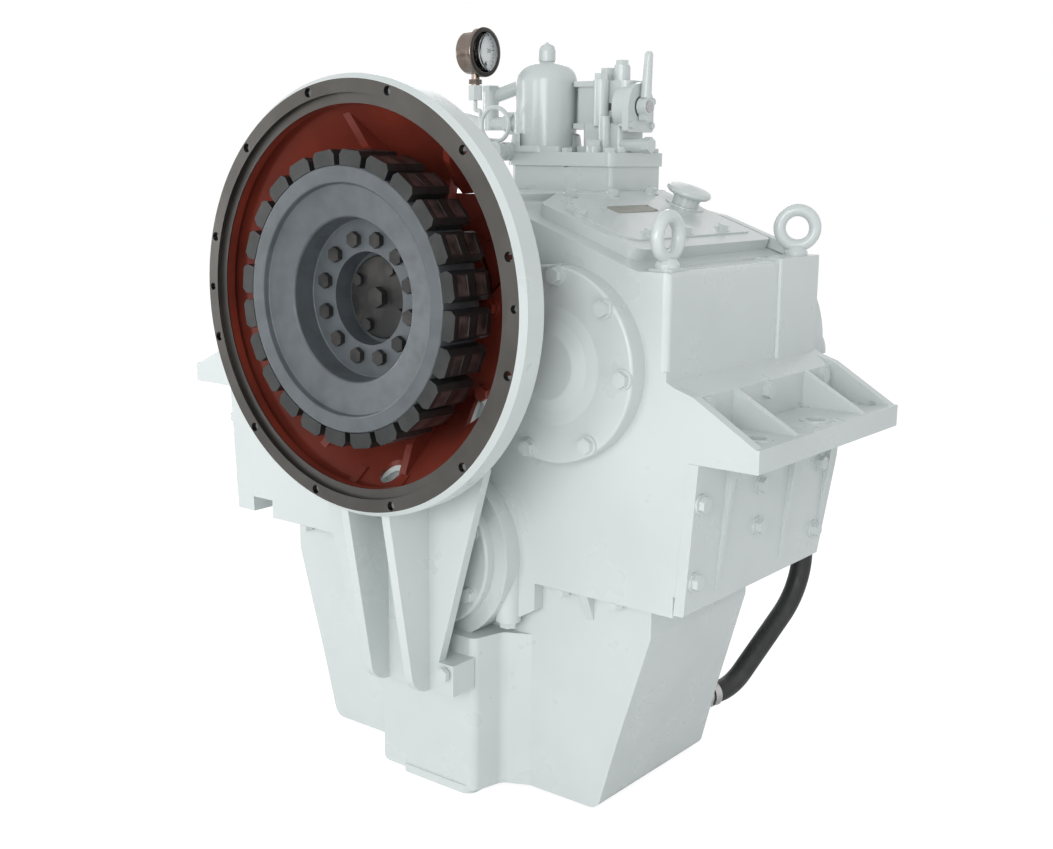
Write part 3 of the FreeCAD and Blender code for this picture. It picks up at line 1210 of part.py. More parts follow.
def filter_bowl():
    """Drawn filter bowl with a rounded crown."""
    z0 = PEDESTAL_TOP + 9
    z1 = BOWL_TOP
    r = BOWL_R
    return turned_z([(r - 3, z0), (r, z0), (r, z1 - 10, 28), (17, z1, 8), (11, z1 + 1), (11, z1 - 2),
                     (r - 3, z1 - 12, 25)], FILTER_X, FILTER_Y)


def filter_tie_nut():
    """Through bolt of the filter with its domed nut."""
    z1 = BOWL_TOP
    body = turned_z([(0, PEDESTAL_TOP + 8), (5, PEDESTAL_TOP + 8), (5, z1 + 1), (13, z1 + 1),
                     (13, z1 + 16), (11, z1 + 24, 6), (0, z1 + 30)],
                    FILTER_X, FILTER_Y)
    return body.fuse(hexagon((FILTER_X, FILTER_Y, z1 + 1.0), (0, 0, 1), 22, 13)).removeSplitter()


def filter_element():
    """Pleated filter element inside the bowl."""
    z0 = PEDESTAL_TOP + 8
    z1 = BOWL_TOP - 26
    points = []
    for i in range(24):
        radius = 36.0 if i % 2 == 0 else 31.0
        turn = 2 * math.pi * i / 24
        points.append((FILTER_X + radius * math.cos(turn), FILTER_Y + radius * math.sin(turn)))
    body = plate_z(points, z0 + 4, z1 - 4)
    body = body.fuse([rod(37.0, (FILTER_X, FILTER_Y, z0), (FILTER_X, FILTER_Y, z0 + 4)),
                      rod(37.0, (FILTER_X, FILTER_Y, z1 - 4), (FILTER_X, FILTER_Y, z1))])
    return body.cut(rod(14.0, (FILTER_X, FILTER_Y, z0 - 1), (FILTER_X, FILTER_Y, z1 + 1)))


def control_valve_body():
    """Control valve block with its upright bosses."""
    z0 = PEDESTAL_TOP
    block = plate_z([(-20, 506, 6), (78, 500, 14), (78, 562, 8), (-20, 576), (-60, 584, 6), (-60, 558),
                     (-20, 540)], 222, 292)
    foot = plate_z([(-10, 488, 10), (78, 488, 14), (78, 566, 10), (-10, 566, 10)], z0, 196)
    neck = plate_z([(0, 494, 8), (70, 494, 8), (70, 560, 8), (0, 560, 8)], z0, 230)
    lip = plate_z([(-24, 500, 6), (30, 500), (30, 572), (-64, 587, 6), (-64, 556), (-24, 538)], 222, 230)
    crown = plate_z([(-24, 500, 6), (30, 500), (30, 572), (-64, 587, 6), (-64, 556), (-24, 538)], 284, 292)
    tall = rod(11.5, (34, 494, 226), (34, 494, 293))
    stub = rod(9.0, (45, 488, z0), (45, 488, 240))
    back = rod(12.5, (SPRING_X, 520, 280), (SPRING_X, 520, 312))
    mid = rod(11.0, (28, 519, 280), (28, 519, 300))
    round_end = turned_x([(0, 60), (34, 60), (34, 79), (0, 79)], PLATE_MID_Y, LEVER_Z - 2)
    last, end = branch_route()[-2:]
    way = (end - last).normalize()
    inlet = Part.makeCylinder(13.0, 20.0, end, way)
    port = rod(10.5, (60, 506, z0 + 11), (106, 506, z0 + 11))
    body = fused([block, foot, neck, lip, crown, tall, stub, back, mid, round_end, port, inlet])
    cutters = [turned_x([(0, 20), (15, 20), (15, 80), (0, 80)], LEVER_Y, LEVER_Z),
               rod(8.0, (SPRING_X, 520, 270.5), (SPRING_X, 520, 313))]
    for seat in plate_bolts():
        cutters.append(shank_hole(seat, (1, 0, 0), 6, 22))
    return cut_all(body, cutters)


def plate_bolts():
    """Screws of the valve side plate."""
    return [(LEVER_PLATE_X, 492.0, 227.0), (LEVER_PLATE_X, 546.0, 227.0), (LEVER_PLATE_X, 547.0, 262.0)]


def valve_side_plate():
    """Round-topped plate behind the lever."""
    half = 34.0
    points = [(PLATE_MID_Y - half, 217, 4), (PLATE_MID_Y + half, 217, 6), (PLATE_MID_Y + half, 255)]
    for i in range(1, 8):
        turn = math.pi * i / 8
        points.append((PLATE_MID_Y + half * math.cos(turn), 255 + half * math.sin(turn)))
    points.append((PLATE_MID_Y - half, 255))
    body = plate_x(points, 79, LEVER_PLATE_X)
    cutters = [turned_x([(0, 70), (15.3, 70), (15.3, 95), (0, 95)], LEVER_Y, LEVER_Z)]
    for seat in plate_bolts():
        cutters.append(shank_hole(seat, (1, 0, 0), 6, 22, 0.4))
    return cut_all(body, cutters)


def valve_rotor():
    """Turning spool of the control valve."""
    body = turned_x([(0, 21), (14.9, 21), (14.9, 30), (12, 30), (12, 38), (14.9, 38), (14.9, 50),
                     (12, 50), (12, 58), (14.9, 58), (14.9, LEVER_PLATE_X),
                     (9, LEVER_PLATE_X), (9, LEVER_PLATE_X + 17), (0, LEVER_PLATE_X + 17)], LEVER_Y, LEVER_Z)
    return body


def control_lever():
    """Shift lever: clamp hub and tapered bar."""
    x = LEVER_PLATE_X + 1
    hub = turned_x([(9.0, x), (13.5, x, 1), (13.5, x + 15, 1), (9.0, x + 15)], LEVER_Y, LEVER_Z)
    bar = Part.makeCone(8.2, 6.4, 62, V(x + 8, LEVER_Y, LEVER_Z + 12), V(0, 0.08, 1))
    tip = Part.makeSphere(6.4, V(x + 8, LEVER_Y + 4.95, LEVER_Z + 73.8))
    lug = plate_x([(LEVER_Y - 6, LEVER_Z - 21, 3), (LEVER_Y + 6, LEVER_Z - 21, 3),
                   (LEVER_Y + 8, LEVER_Z - 9), (LEVER_Y - 8, LEVER_Z - 9)], x + 1, x + 14)
    body = fused([hub, bar, tip, lug])
    return body.cut(rod(9.0, (80, LEVER_Y, LEVER_Z), (120, LEVER_Y, LEVER_Z)))


def regulator_spring():
    """Pressure regulator spring inside the upright boss, wound from short straight lengths."""
    corners = []
    steps = SPRING_TURNS * 8
    for i in range(steps + 1):
        turn = 2.0 * math.pi * i / 8
        corners.append(V(SPRING_X + SPRING_R * math.cos(turn), 520 + SPRING_R * math.sin(turn),
                         272.0 + 16.5 * i / steps))
    way = corners[1] - corners[0]
    ring = Part.Wire(Part.makeCircle(SPRING_WIRE_R, corners[0], way))
    path = Part.Wire(Part.makePolygon(corners).Edges)
    return path.makePipeShell([ring], True, False, 1)


def valve_caps():
    """Hexagon caps and plugs on the control valve and the pedestal."""
    pieces = []
    top = fused([rod(11.5, (SPRING_X, 520, 312), (SPRING_X, 520, 315)), hexagon((SPRING_X, 520, 315),
                                                                                (0, 0, 1), 18, 7),
                 rod(8.0, (SPRING_X, 520, 291), (SPRING_X, 520, 312))])
    pieces.append(top)
    pieces.append(hexagon((28, 519, 300), (0, 0, 1), 19, 11))
    pieces.append(hexagon((34, 494, 293), (0, 0, 1), 19, 9))
    pieces.append(hexagon((106, 506, PEDESTAL_TOP + 11), (1, 0, 0), 21, 12))
    plug = fused([rod(12.0, (44, 463, PEDESTAL_TOP), (44, 463, PEDESTAL_TOP + 9)),
                  hexagon((44, 463, PEDESTAL_TOP + 9), (0, 0, 1), 19, 9)])
    pieces.append(plug)
    return pieces


def gauge_case():
    """Pressure gauge case that faces +X, with its stem."""
    x, y, z = GAUGE
    r = GAUGE_R
    body = turned_x([(0, x - 16), (r - 5, x - 16, 3), (r - 4, x + 10), (r, x + 10, 1), (r, x + 18, 2),
                     (r - 6, x + 18), (r - 6, x + 6), (0, x + 6)], y, z)
    stem = rod(6.5, (x - 2, y, z - r + 6), (x - 2, y, z - r - 12))
    square = brick(x - 9, x + 5, y - 7, y + 7, z - r - 10, z - r - 3)
    return fused([body, stem, square])


def gauge_dial():
    """Plain dial disc."""
    x, y, z = GAUGE
    return turned_x([(2.2, x + 6), (GAUGE_R - 6.1, x + 6), (GAUGE_R - 6.1, x + 7), (2.2, x + 7)], y, z)


def gauge_needle():
    """Dial needle pointing to its low stop."""
    x, y, z = GAUGE
    body = turned_x([(0, x + 6.3), (1.8, x + 6.3), (1.8, x + 7.4), (3.2, x + 7.4), (3.2, x + 9),
                     (0, x + 9)], y, z)
    bar = plate_x([(-1.6, -7), (1.6, -7), (0.5, 22), (-0.5, 22)], x + 7.6, x + 8.6)
    bar.rotate(V(0, 0, 0), V(1, 0, 0), 135.0)
    bar.translate(V(0, y, z))
    return fused([body, bar])


def bend_radii(points):
    """Largest even bends: each arc takes 0.45 of its shorter run on either side."""
    radii = []
    for i in range(1, len(points) - 1):
        before = points[i - 1] - points[i]
        after = points[i + 1] - points[i]
        half_turn = (math.pi - before.getAngle(after)) / 2.0
        radii.append(0.45 * min(before.Length, after.Length) / math.tan(half_turn))
    return radii


def siphon_pipe():
    """Pipe with one full coil between the banjo and the gauge."""
    route = siphon_route()
    return pipe(route, bend_radii(route), SIPHON_R)


def siphon_route():
    """Corner points of the siphon: out of the banjo, once round the loop and up to the gauge."""
    x, y, z = GAUGE
    bx, by, bz = BANJO
    reach = SIPHON_COIL_R / math.cos(math.radians(22.5))
    points = [V(bx - 9.6, by - 4, bz + 9.6)]
    for i in range(8):
        turn = math.radians(-112.5 - 45.0 * i)
        points.append(V(SIPHON_COIL[0] + reach * math.cos(turn), by - 4.0 + i * 1.0,
                        SIPHON_COIL[1] + reach * math.sin(turn)))
    points += [V(x + 8, y + 3, SIPHON_COIL[1] - SIPHON_COIL_R + 2), V(x + 7, y + 1, SIPHON_COIL[1] + 22),
               V(x - 2, y, z - GAUGE_R - 50), V(x - 2, y, z - GAUGE_R - 34.3)]
    return points


def pipe_unions():
    """Union nuts and banjo bolts of the oil lines and the gauge."""
    x, y, z = GAUGE
    bx, by, bz = BANJO
    pieces = []
    pieces.append(hexagon((x - 2, y, z - GAUGE_R - 34), (0, 0, 1), 19, 22))
    banjo = fused([rod(12.0, (bx, by + 7, bz), (bx, by - 7, bz)), hexagon((bx, by - 7, bz), (0, -1, 0),
                                                                          26, 10)])
    pieces.append(banjo)
    pieces.append(hexagon((PORT[0] - 14, PORT[1], PORT[2]), (-1, 0, 0), 30, 16))
    pieces.append(hexagon((RETURN_X, PORT[1], SHOULDER_Z), (0, 0, 1), 30, 16))
    return pieces


def branch_route():
    """Corner points of the branch behind the filter."""
    px, py, pz = PORT
    return [V(px - 65, py + 2, pz + 41), V(-150, py + 26, PIPE_END[2] + 8), V(*PIPE_END)]


def oil_pipes():
    """Return line with its tee and the branch to the control valve behind the filter."""
    px, py, pz = PORT
    tee_x = px - 65
    lower = pipe([V(px - 30, py, pz), V(tee_x - 20, py, pz), V(RETURN_X, py, pz + 26), V(RETURN_X, py,
                                                                                         SHOULDER_Z + 16)],
                 [60, 40], PIPE_R)
    tee = rod(13.0, (tee_x, py, pz - 10), (tee_x, py, pz + 50))
    cap = hexagon((tee_x, py, pz + 50), (0, 0, 1), 24, 9)
    upper = pipe(branch_route(), [60], PIPE_R)
    return fused([lower, tee, cap, upper])


def eye_bolts():
    """Two lifting eye bolts."""
    pieces = []
    for x, y, turn in EYE_PLACES:
        seat = SHOULDER_Z + 3
        collar = turned_z([(0, seat), (16, seat), (16, seat + 5, 2), (11, seat + 12), (0, seat + 12)], 0, 0)
        ring = Part.makeTorus(EYE_RING_R, EYE_BAR_R, V(0, 0, seat + EYE_HEIGHT), V(0, 1, 0))
        shank = rod(9.0, (0, 0, seat - 26), (0, 0, seat + 2))
        body = fused([collar, ring, shank])
        body.rotate(V(0, 0, 0), V(0, 0, 1), turn)
        body.translate(V(x, y, 0))
        pieces.append(body)
    return pieces


def drain_plug():
    """Sump drain plug on the rear wall."""
    z = SUMP_BOTTOM_Z + 34
    y = sump_rear_y(z)
    return fused([rod_y(11.0, y - 12, y + 2, (-120.0, z)), hexagon((-120.0, y + 1.2, z), (0, 1, 0), 27, 12)])


def main():
    """Build every node."""
    os.makedirs("parts", exist_ok=True)
    line_out = direction_of(OUTPUT, INPUT)
    ahead_angle = mate_angle(0.0, OUTPUT_TEETH, AHEAD_TEETH, line_out)
    astern_angle = mate_angle(0.0, OUTPUT_TEETH, ASTERN_TEETH, direction_of(OUTPUT, SIDE))
    drive_angle = 0.0
    driven_angle = mate_angle(drive_angle, DRIVE_TEETH, DRIVE_TEETH, direction_of(INPUT, SIDE))

    eyes = eye_bolts()
    casing = upper_housing()
    for x, y, _ in EYE_PLACES:
        casing = casing.cut(rod(9.0, (x, y, SHOULDER_Z - 23.5), (x, y, SHOULDER_Z + 10)))
    for seat, way, size, length in split_places():
        casing = casing.cut(shank_hole(seat, way, size, length))
    save("upper_housing", casing)
    save("bell_housing", bell_housing())
    save("lower_housing", lower_housing())
    save("side_plate_right", side_plate(1))
    save("side_plate_left", side_plate(-1))
    save("top_cover", top_cover())
    save("filler_neck", filler_neck())
    save("filler_cap", filler_cap())
    save("valve_pedestal", valve_pedestal())
    save("input_seal_housing", input_seal_housing())
    save("transmission_front_cover", side_front_cover())
    save("output_front_cover", output_front_cover())
    save("input_rear_cover", input_rear_cover())
    save("transmission_rear_cover", side_rear_cover())
    save("output_seal_housing", output_seal_housing())
    save("oil_seals", oil_seals())
    outers, turning = bearings()
    save("bearing_outer_rings", outers)
    save("input_bearing_cones", turning["input"])
    save("transmission_bearing_cones", turning["side"])
    save("output_bearing_cones", turning["output"])

    save("coupling_disc", coupling_disc())
    save("coupling_carrier", coupling_carrier())
    save("coupling_rubber_blocks", rubber_blocks())
    save("coupling_bolts", coupling_bolts())
    save("coupling_end_plate", coupling_end_plate())
    save("input_shaft", input_shaft())
    save("transmission_shaft", side_shaft())
    save("ahead_clutch_drum", clutch_drum(INPUT, drive_angle))
    save("astern_clutch_drum", clutch_drum(SIDE, driven_angle))
    save("ahead_pinion", pinion(AHEAD_TEETH, INPUT, ahead_angle, SHAFT_R))
    save("astern_pinion", pinion(ASTERN_TEETH, SIDE, astern_angle, SHAFT_R + RUNNING))
    steel, lined = clutch_plates(INPUT)
    save("ahead_clutch_plates", group(steel + lined))
    steel, lined = clutch_plates(SIDE)
    save("astern_steel_plates_and_piston", group(steel + [clutch_piston(SIDE)]))
    save("astern_lined_plates", group(lined))
    save("ahead_piston", clutch_piston(INPUT))
    save("output_shaft", output_shaft())
    save("output_gear", output_gear())
    save("output_flange", output_flange())

    first, second = pump_gears()
    save("pump_drive_gear", first)
    save("pump_idler_gear", second)
    save("oil_pump_body", oil_pump_body())
    save("suction_hose", pipe(hose_route(), [HOSE_LOW_BEND_R, HOSE_HIGH_BEND_R], HOSE_R, HOSE_BORE_R))
    save("hose_fittings", hose_fittings())

    save("oil_filter_head", filter_head())
    save("oil_filter_bowl", filter_bowl())
    save("oil_filter_tie_nut", filter_tie_nut())
    save("oil_filter_element", filter_element())
    save("control_valve_body", control_valve_body())
    save("valve_side_plate", valve_side_plate())
    save("valve_rotor", valve_rotor())
    save("control_lever", control_lever())
    save("regulator_spring", regulator_spring())
    save("gauge_case", gauge_case())
    save("gauge_dial", gauge_dial())
    save("gauge_needle", gauge_needle())
    save("gauge_siphon_pipe", siphon_pipe())
    save("oil_pipes", oil_pipes())
    save("caps_and_unions", group(valve_caps() + pipe_unions() + [drain_plug()]))
    save("eye_bolts", group(eyes))

    large = [bolt(seat, way, size, length - 0.3) for seat, way, size, length in split_places()]
    large += [bolt((x, FRONT_Y - BELL_BACK, z), (0, -1, 0), 16, 33) for x, z in bell_holes()]
    large += [bolt((x, 96, z), (0, -1, 0), 12, BOX_FRONT_Y + 14 - 96) for x, z in BUTTRESS_BOLTS]
    small = [bolt(seat, (0, -1, 0), 12, 35) for seat in side_cover_bolts()]
    small += [bolt(seat, (0, -1, 0), 12, 33) for seat in out_cover_bolts()]
    small += [bolt(seat, (1, 0, 0), 12, 25) for seat in side_plate_places(1)]
    small += [bolt(seat, (-1, 0, 0), 12, 47) for seat in side_plate_places(-1)]
    small += [bolt(seat, (0, 1, 0), 12, REAR_COVER_DEPTH + 18) for seat in rear_cover_bolts()]
    small += [bolt((RIGHT_WALL_TOP, y, WALL_BOLT_Z), (1, 0, 0), 14, 21) for y in WALL_BOLTS_Y]
    small += [bolt((LEFT_WALL_TOP, y, WALL_BOLT_Z), (-1, 0, 0), 14, 21) for y in WALL_BOLTS_Y]
    square = slope_vectors()[1]
    for x, y in top_cover_places():
        seat = V(x, y, roof_z(x) + 8) + square * 11.0
        small.append(bolt((seat.x, seat.y, seat.z), (square.x, 0, square.z), 10, 18))
    small += [bolt(seat, (0, 0, 1), 10, 21) for seat in pedestal_places()]
    small += [bolt(seat, (1, 0, 0), 6, 21) for seat in plate_bolts()]
    save("bolts", group(large + small))


main()
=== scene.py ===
"""Looks of the marine gearbox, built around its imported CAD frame."""

import json
import logging
import math
from dataclasses import dataclass
from enum import Enum

import bmesh
import bpy
import numpy as np
from mathutils import Matrix, Vector


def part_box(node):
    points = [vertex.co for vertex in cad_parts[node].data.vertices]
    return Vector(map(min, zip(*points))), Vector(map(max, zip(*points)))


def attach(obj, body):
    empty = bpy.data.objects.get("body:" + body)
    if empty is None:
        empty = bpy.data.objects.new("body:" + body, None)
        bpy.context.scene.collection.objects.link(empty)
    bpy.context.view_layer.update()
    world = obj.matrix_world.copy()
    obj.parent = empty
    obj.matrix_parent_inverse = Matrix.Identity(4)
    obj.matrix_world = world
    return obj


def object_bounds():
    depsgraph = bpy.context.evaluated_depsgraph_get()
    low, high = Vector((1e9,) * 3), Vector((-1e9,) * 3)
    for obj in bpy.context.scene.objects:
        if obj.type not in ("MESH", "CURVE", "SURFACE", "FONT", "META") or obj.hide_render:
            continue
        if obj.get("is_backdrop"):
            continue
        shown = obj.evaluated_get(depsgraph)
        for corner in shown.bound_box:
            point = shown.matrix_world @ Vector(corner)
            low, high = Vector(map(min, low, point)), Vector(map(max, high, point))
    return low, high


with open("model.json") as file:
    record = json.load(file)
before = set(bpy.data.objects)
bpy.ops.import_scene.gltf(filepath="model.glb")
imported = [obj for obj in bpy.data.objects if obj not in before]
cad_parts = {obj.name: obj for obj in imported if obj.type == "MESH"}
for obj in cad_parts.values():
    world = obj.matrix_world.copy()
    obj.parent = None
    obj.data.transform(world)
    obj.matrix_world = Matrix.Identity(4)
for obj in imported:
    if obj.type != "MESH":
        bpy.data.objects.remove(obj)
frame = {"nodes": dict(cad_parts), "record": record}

LOG = logging.getLogger("gearbox")
MM = 0.001
SEAM = 1e-6
Colour = tuple[float, float, float]


class Axis(Enum):
    """Directions of the frame as unit vectors."""

    X = (1.0, 0.0, 0.0)
    Y = (0.0, 1.0, 0.0)
    Z = (0.0, 0.0, 1.0)


class Graph:
    """A material's node tree with short calls for the nodes used here."""

    def __init__(self, name: str) -> None:
        """Start an empty material.

        Args:
            name: Name of the material.
        """
        self.material = bpy.data.materials.new(name)
        self.material.use_nodes = True
        self.nodes = self.material.node_tree.nodes
        self.links = self.material.node_tree.links
        self.nodes.clear()
        self.output = self.nodes.new("ShaderNodeOutputMaterial")
        self.shader = self.nodes.new("ShaderNodeBsdfPrincipled")
        self.links.new(self.shader.outputs["BSDF"], self.output.inputs["Surface"])
        self.coords = self.nodes.new("ShaderNodeTexCoord")

    def put(self, socket: bpy.types.NodeSocket, value: object) -> None:
        """Link or set one input.

        Args:
            socket: Input socket.
            value: An output socket, a number or a colour.
        """
        if isinstance(value, bpy.types.NodeSocket):
            self.links.new(value, socket)
        else:
            socket.default_value = value

    def math(self, kind: str, a: object, b: object = 0.0) -> bpy.types.NodeSocket:
        """Scalar operation.

        Args:
            kind: Operation name.
            a: First operand.
            b: Second operand.

        Returns:
            The value.
        """
        node = self.nodes.new("ShaderNodeMath")
        node.operation = kind
        self.put(node.inputs[0], a)
        self.put(node.inputs[1], b)
        return node.outputs[0]

    def mix(self, share: object, a: object, b: object) -> bpy.types.NodeSocket:
        """Blend two colours.

        Args:
            share: Part of the second colour.
            a: First colour.
            b: Second colour.

        Returns:
            The mixed colour.
        """
        node = self.nodes.new("ShaderNodeMix")
        node.data_type = "RGBA"
        self.put(node.inputs[0], share)
        self.put(node.inputs[6], (*a, 1.0) if isinstance(a, tuple) else a)
        self.put(node.inputs[7], (*b, 1.0) if isinstance(b, tuple) else b)
        return node.outputs[2]

    def ramp(self, value: object, low: float, high: float, start: float = 0.0,
             end: float = 1.0) -> bpy.types.NodeSocket:
        """Straight map of a value with clamped ends.

        Args:
            value: Input value.
            low: Input that gives start.
            high: Input that gives end.
            start: Result at low.
            end: Result at high.

        Returns:
            The mapped value.
        """
        node = self.nodes.new("ShaderNodeMapRange")
        self.put(node.inputs["Value"], value)
        node.inputs["From Min"].default_value = low
        node.inputs["From Max"].default_value = high
        node.inputs["To Min"].default_value = start
        node.inputs["To Max"].default_value = end
        return node.outputs["Result"]

    def noise(self, scale: float, detail: float = 3.0) -> bpy.types.NodeSocket:
        """Noise on object coordinates.

        Args:
            scale: Waves per metre.
            detail: Octaves.

        Returns:
            The noise value.
        """
        node = self.nodes.new("ShaderNodeTexNoise")
        node.inputs["Scale"].default_value = scale
        node.inputs["Detail"].default_value = detail
        self.links.new(self.coords.outputs["Object"], node.inputs["Vector"])
        return node.outputs["Fac"]

    def place(self) -> tuple[bpy.types.NodeSocket, bpy.types.NodeSocket, bpy.types.NodeSocket]:
        """Object coordinates in metres.

        Returns:
            X, Y and Z.
        """
        node = self.nodes.new("ShaderNodeSeparateXYZ")
        self.links.new(self.coords.outputs["Object"], node.inputs[0])
        return node.outputs[0], node.outputs[1], node.outputs[2]

    def radius(self, x: float = 0.0, z: float = 0.0) -> bpy.types.NodeSocket:
        """Distance from a line along Y.

        Args:
            x: Place of the line.
            z: Place of the line.

        Returns:
            The distance in metres.
        """
        px, _, pz = self.place()
        dx = self.math("SUBTRACT", px, x)
        dz = self.math("SUBTRACT", pz, z)
        squares = self.math("ADD", self.math("MULTIPLY", dx, dx), self.math("MULTIPLY", dz, dz))
        return self.math("SQRT", squares)

    def bump(self, height: object, strength: float, distance: float,
             under: object = None) -> bpy.types.NodeSocket:
        """Bump from a height.

        Args:
            height: Height value.
            strength: Strength of the bump.
            distance: Height of a full step in metres.
            under: Normal of a coarser bump.

        Returns:
            The bent normal.
        """
        node = self.nodes.new("ShaderNodeBump")
        node.inputs["Strength"].default_value = strength
        node.inputs["Distance"].default_value = distance
        self.put(node.inputs["Height"], height)
        if under is not None:
            self.put(node.inputs["Normal"], under)
        return node.outputs["Normal"]

    def finish(self, colour: object, roughness: object, normal: object = None, metallic: object = 0.0,
               **fixed: float) -> bpy.types.Material:
        """Wire the shader.

        Args:
            colour: Base colour.
            roughness: Roughness.
            normal: Bent normal.
            metallic: Metal share, a number or a socket.
            **fixed: Further sockets with underscores for spaces.

        Returns:
            The material.
        """
        self.put(self.shader.inputs["Base Color"], (*colour, 1.0) if isinstance(colour, tuple) else colour)
        self.put(self.shader.inputs["Roughness"], roughness)
        self.put(self.shader.inputs["Metallic"], metallic)
        if normal is not None:
            self.put(self.shader.inputs["Normal"], normal)
        for key, value in fixed.items():
            self.shader.inputs[key.replace("_", " ")].default_value = value
        return self.material


@dataclass(frozen=True)
class CastPaint:
    """Grey enamel over a sand casting."""

    name: str = "casting_enamel"
    colour: Colour = (0.585, 0.63, 0.62)
    shade: Colour = (0.52, 0.565, 0.555)
    grime: Colour = (0.30, 0.31, 0.29)
    roughness: float = 0.30

    def layers(self, g: Graph) -> tuple[bpy.types.NodeSocket, bpy.types.NodeSocket, bpy.types.NodeSocket]:
        """Colour, roughness and normal of the enamel.

        Args:
            g: Graph that takes the nodes.

        Returns:
            Colour, roughness and normal sockets.
        """
        broad = g.ramp(g.noise(3.5, 3.0), 0.35, 0.7, 0.0, 0.6)
        colour = g.mix(broad, self.colour, self.shade)
        dirt = g.ramp(g.noise(7.0, 2.0), 0.45, 0.80, 0.0, 0.07)
        colour = g.mix(dirt, colour, self.grime)
        rough = g.ramp(g.noise(14.0, 3.0), 0.3, 0.7, self.roughness - 0.05, self.roughness + 0.06)
        cast = g.bump(g.noise(40.0, 2.0), 0.10, 0.0008)
        peel = g.bump(g.noise(420.0, 2.0), 0.05, 0.0002, cast)
        return colour, rough, peel

    def build(self) -> bpy.types.Material:
        """Plain enamel for covers and casings."""
        g = Graph(self.name)
        colour, rough, normal = self.layers(g)
        return g.finish(colour, rough, normal, Coat_Weight=0.35, Coat_Roughness=0.14)


@dataclass(frozen=True)
class CasingFinish(CastPaint):
    """Enamel, with red primer on whatever stands within the bell's cone."""

    name: str = "casing_finish"
    primer: Colour = (0.235, 0.038, 0.021)
    primer_shade: Colour = (0.15, 0.026, 0.016)
    wall_start: float = 255.2 * MM
    wall_slope: float = 0.803
    wall_y: float = 46.0 * MM
    wall_most: float = 260.0 * MM
    cone_end: float = 235.0 * MM

    def within(self, g: Graph, start_y: float) -> bpy.types.NodeSocket:
        """1 within the cone's mid wall, whose radius falls evenly with y, and 0 outside it.

        Args:
            g: Graph that takes the nodes.
            start_y: Where the cone starts.

        Returns:
            The mask.
        """
        _, y, _ = g.place()
        fall = g.math("MULTIPLY", g.math("SUBTRACT", y, self.wall_y), self.wall_slope)
        mid = g.math("MINIMUM", g.math("SUBTRACT", self.wall_start, fall), self.wall_most)
        depth = g.math("MULTIPLY", g.math("GREATER_THAN", y, start_y), g.math("LESS_THAN", y, self.cone_end))
        return g.math("MULTIPLY", g.math("LESS_THAN", g.radius(), mid), depth)

    def primed(self, g: Graph, start_y: float) -> tuple[bpy.types.NodeSocket, bpy.types.NodeSocket,
                                                        bpy.types.NodeSocket]:
        """Enamel layers with primer within the cone.

        Args:
            g: Graph that takes the nodes.
            start_y: Where the cone starts.

        Returns:
            Colour, roughness and normal sockets.
        """
        colour, rough, normal = self.layers(g)
        inside = self.within(g, start_y)
        red = g.mix(g.ramp(g.noise(9.0, 4.0), 0.35, 0.65), self.primer, self.primer_shade)
        return g.mix(inside, colour, red), g.math("ADD", rough, g.math("MULTIPLY", inside, 0.12)), normal

    def build(self) -> bpy.types.Material:
        """Enamelled casing, primed within the cone."""
        g = Graph(self.name)
        colour, rough, normal = self.primed(g, 0.0)
        return g.finish(colour, rough, normal, Coat_Weight=0.35, Coat_Roughness=0.14)


@dataclass(frozen=True)
class BellFinish(CasingFinish):
    """Enamel outside, red primer inside and a turned engine face; ring_waves are radians per metre."""

    name: str = "bell_finish"
    metal: Colour = (0.088, 0.083, 0.077)
    lighter_tone: Colour = (0.125, 0.119, 0.112)
    face_depth: float = 7.5 * MM
    face_inner: float = 242.0 * MM
    face_outer: float = 272.6 * MM
    ring_waves: float = 5200.0

    def build(self) -> bpy.types.Material:
        """Three finishes told apart by radius and depth: inside the cone's mid wall is primer."""
        g = Graph(self.name)
        colour, rough, normal = self.primed(g, self.face_depth)
        r = g.radius()
        _, y, _ = g.place()
        face = g.math("MULTIPLY", g.math("LESS_THAN", y, self.face_depth),
                      g.math("MULTIPLY", g.math("GREATER_THAN", r, self.face_inner), g.math("LESS_THAN",
                                                                                            r,
                                                                                            self.face_outer)))
        rings = g.math("SINE", g.math("MULTIPLY", r, self.ring_waves))
        steel = g.mix(g.ramp(g.noise(11.0, 3.0), 0.35, 0.75, 0.0, 0.8), self.metal, self.lighter_tone)
        colour = g.mix(face, colour, steel)
        rough = g.math("ADD", rough, g.math("MULTIPLY", face, 0.05))
        turned = g.bump(g.math("MULTIPLY", rings, face), 0.08, 0.0001, normal)
        return g.finish(colour, rough, turned, face)


@dataclass(frozen=True)
class SteelFinish:
    """Bare or plated metal with fine turning and light stains."""

    name: str
    colour: Colour
    stain: Colour
    roughness: float = 0.32
    metallic: float = 1.0
    grain: float = 900.0

    def build(self) -> bpy.types.Material:
        """Metal with broad stains and fine grain."""
        g = Graph(self.name)
        stain = g.ramp(g.noise(30.0, 6.0), 0.42, 0.72)
        colour = g.mix(stain, self.colour, self.stain)
        rough = g.ramp(g.noise(90.0, 5.0), 0.3, 0.7, self.roughness - 0.08, self.roughness + 0.12)
        normal = g.bump(g.noise(self.grain, 2.0), 0.12, 0.00015)
        return g.finish(colour, rough, normal, self.metallic)


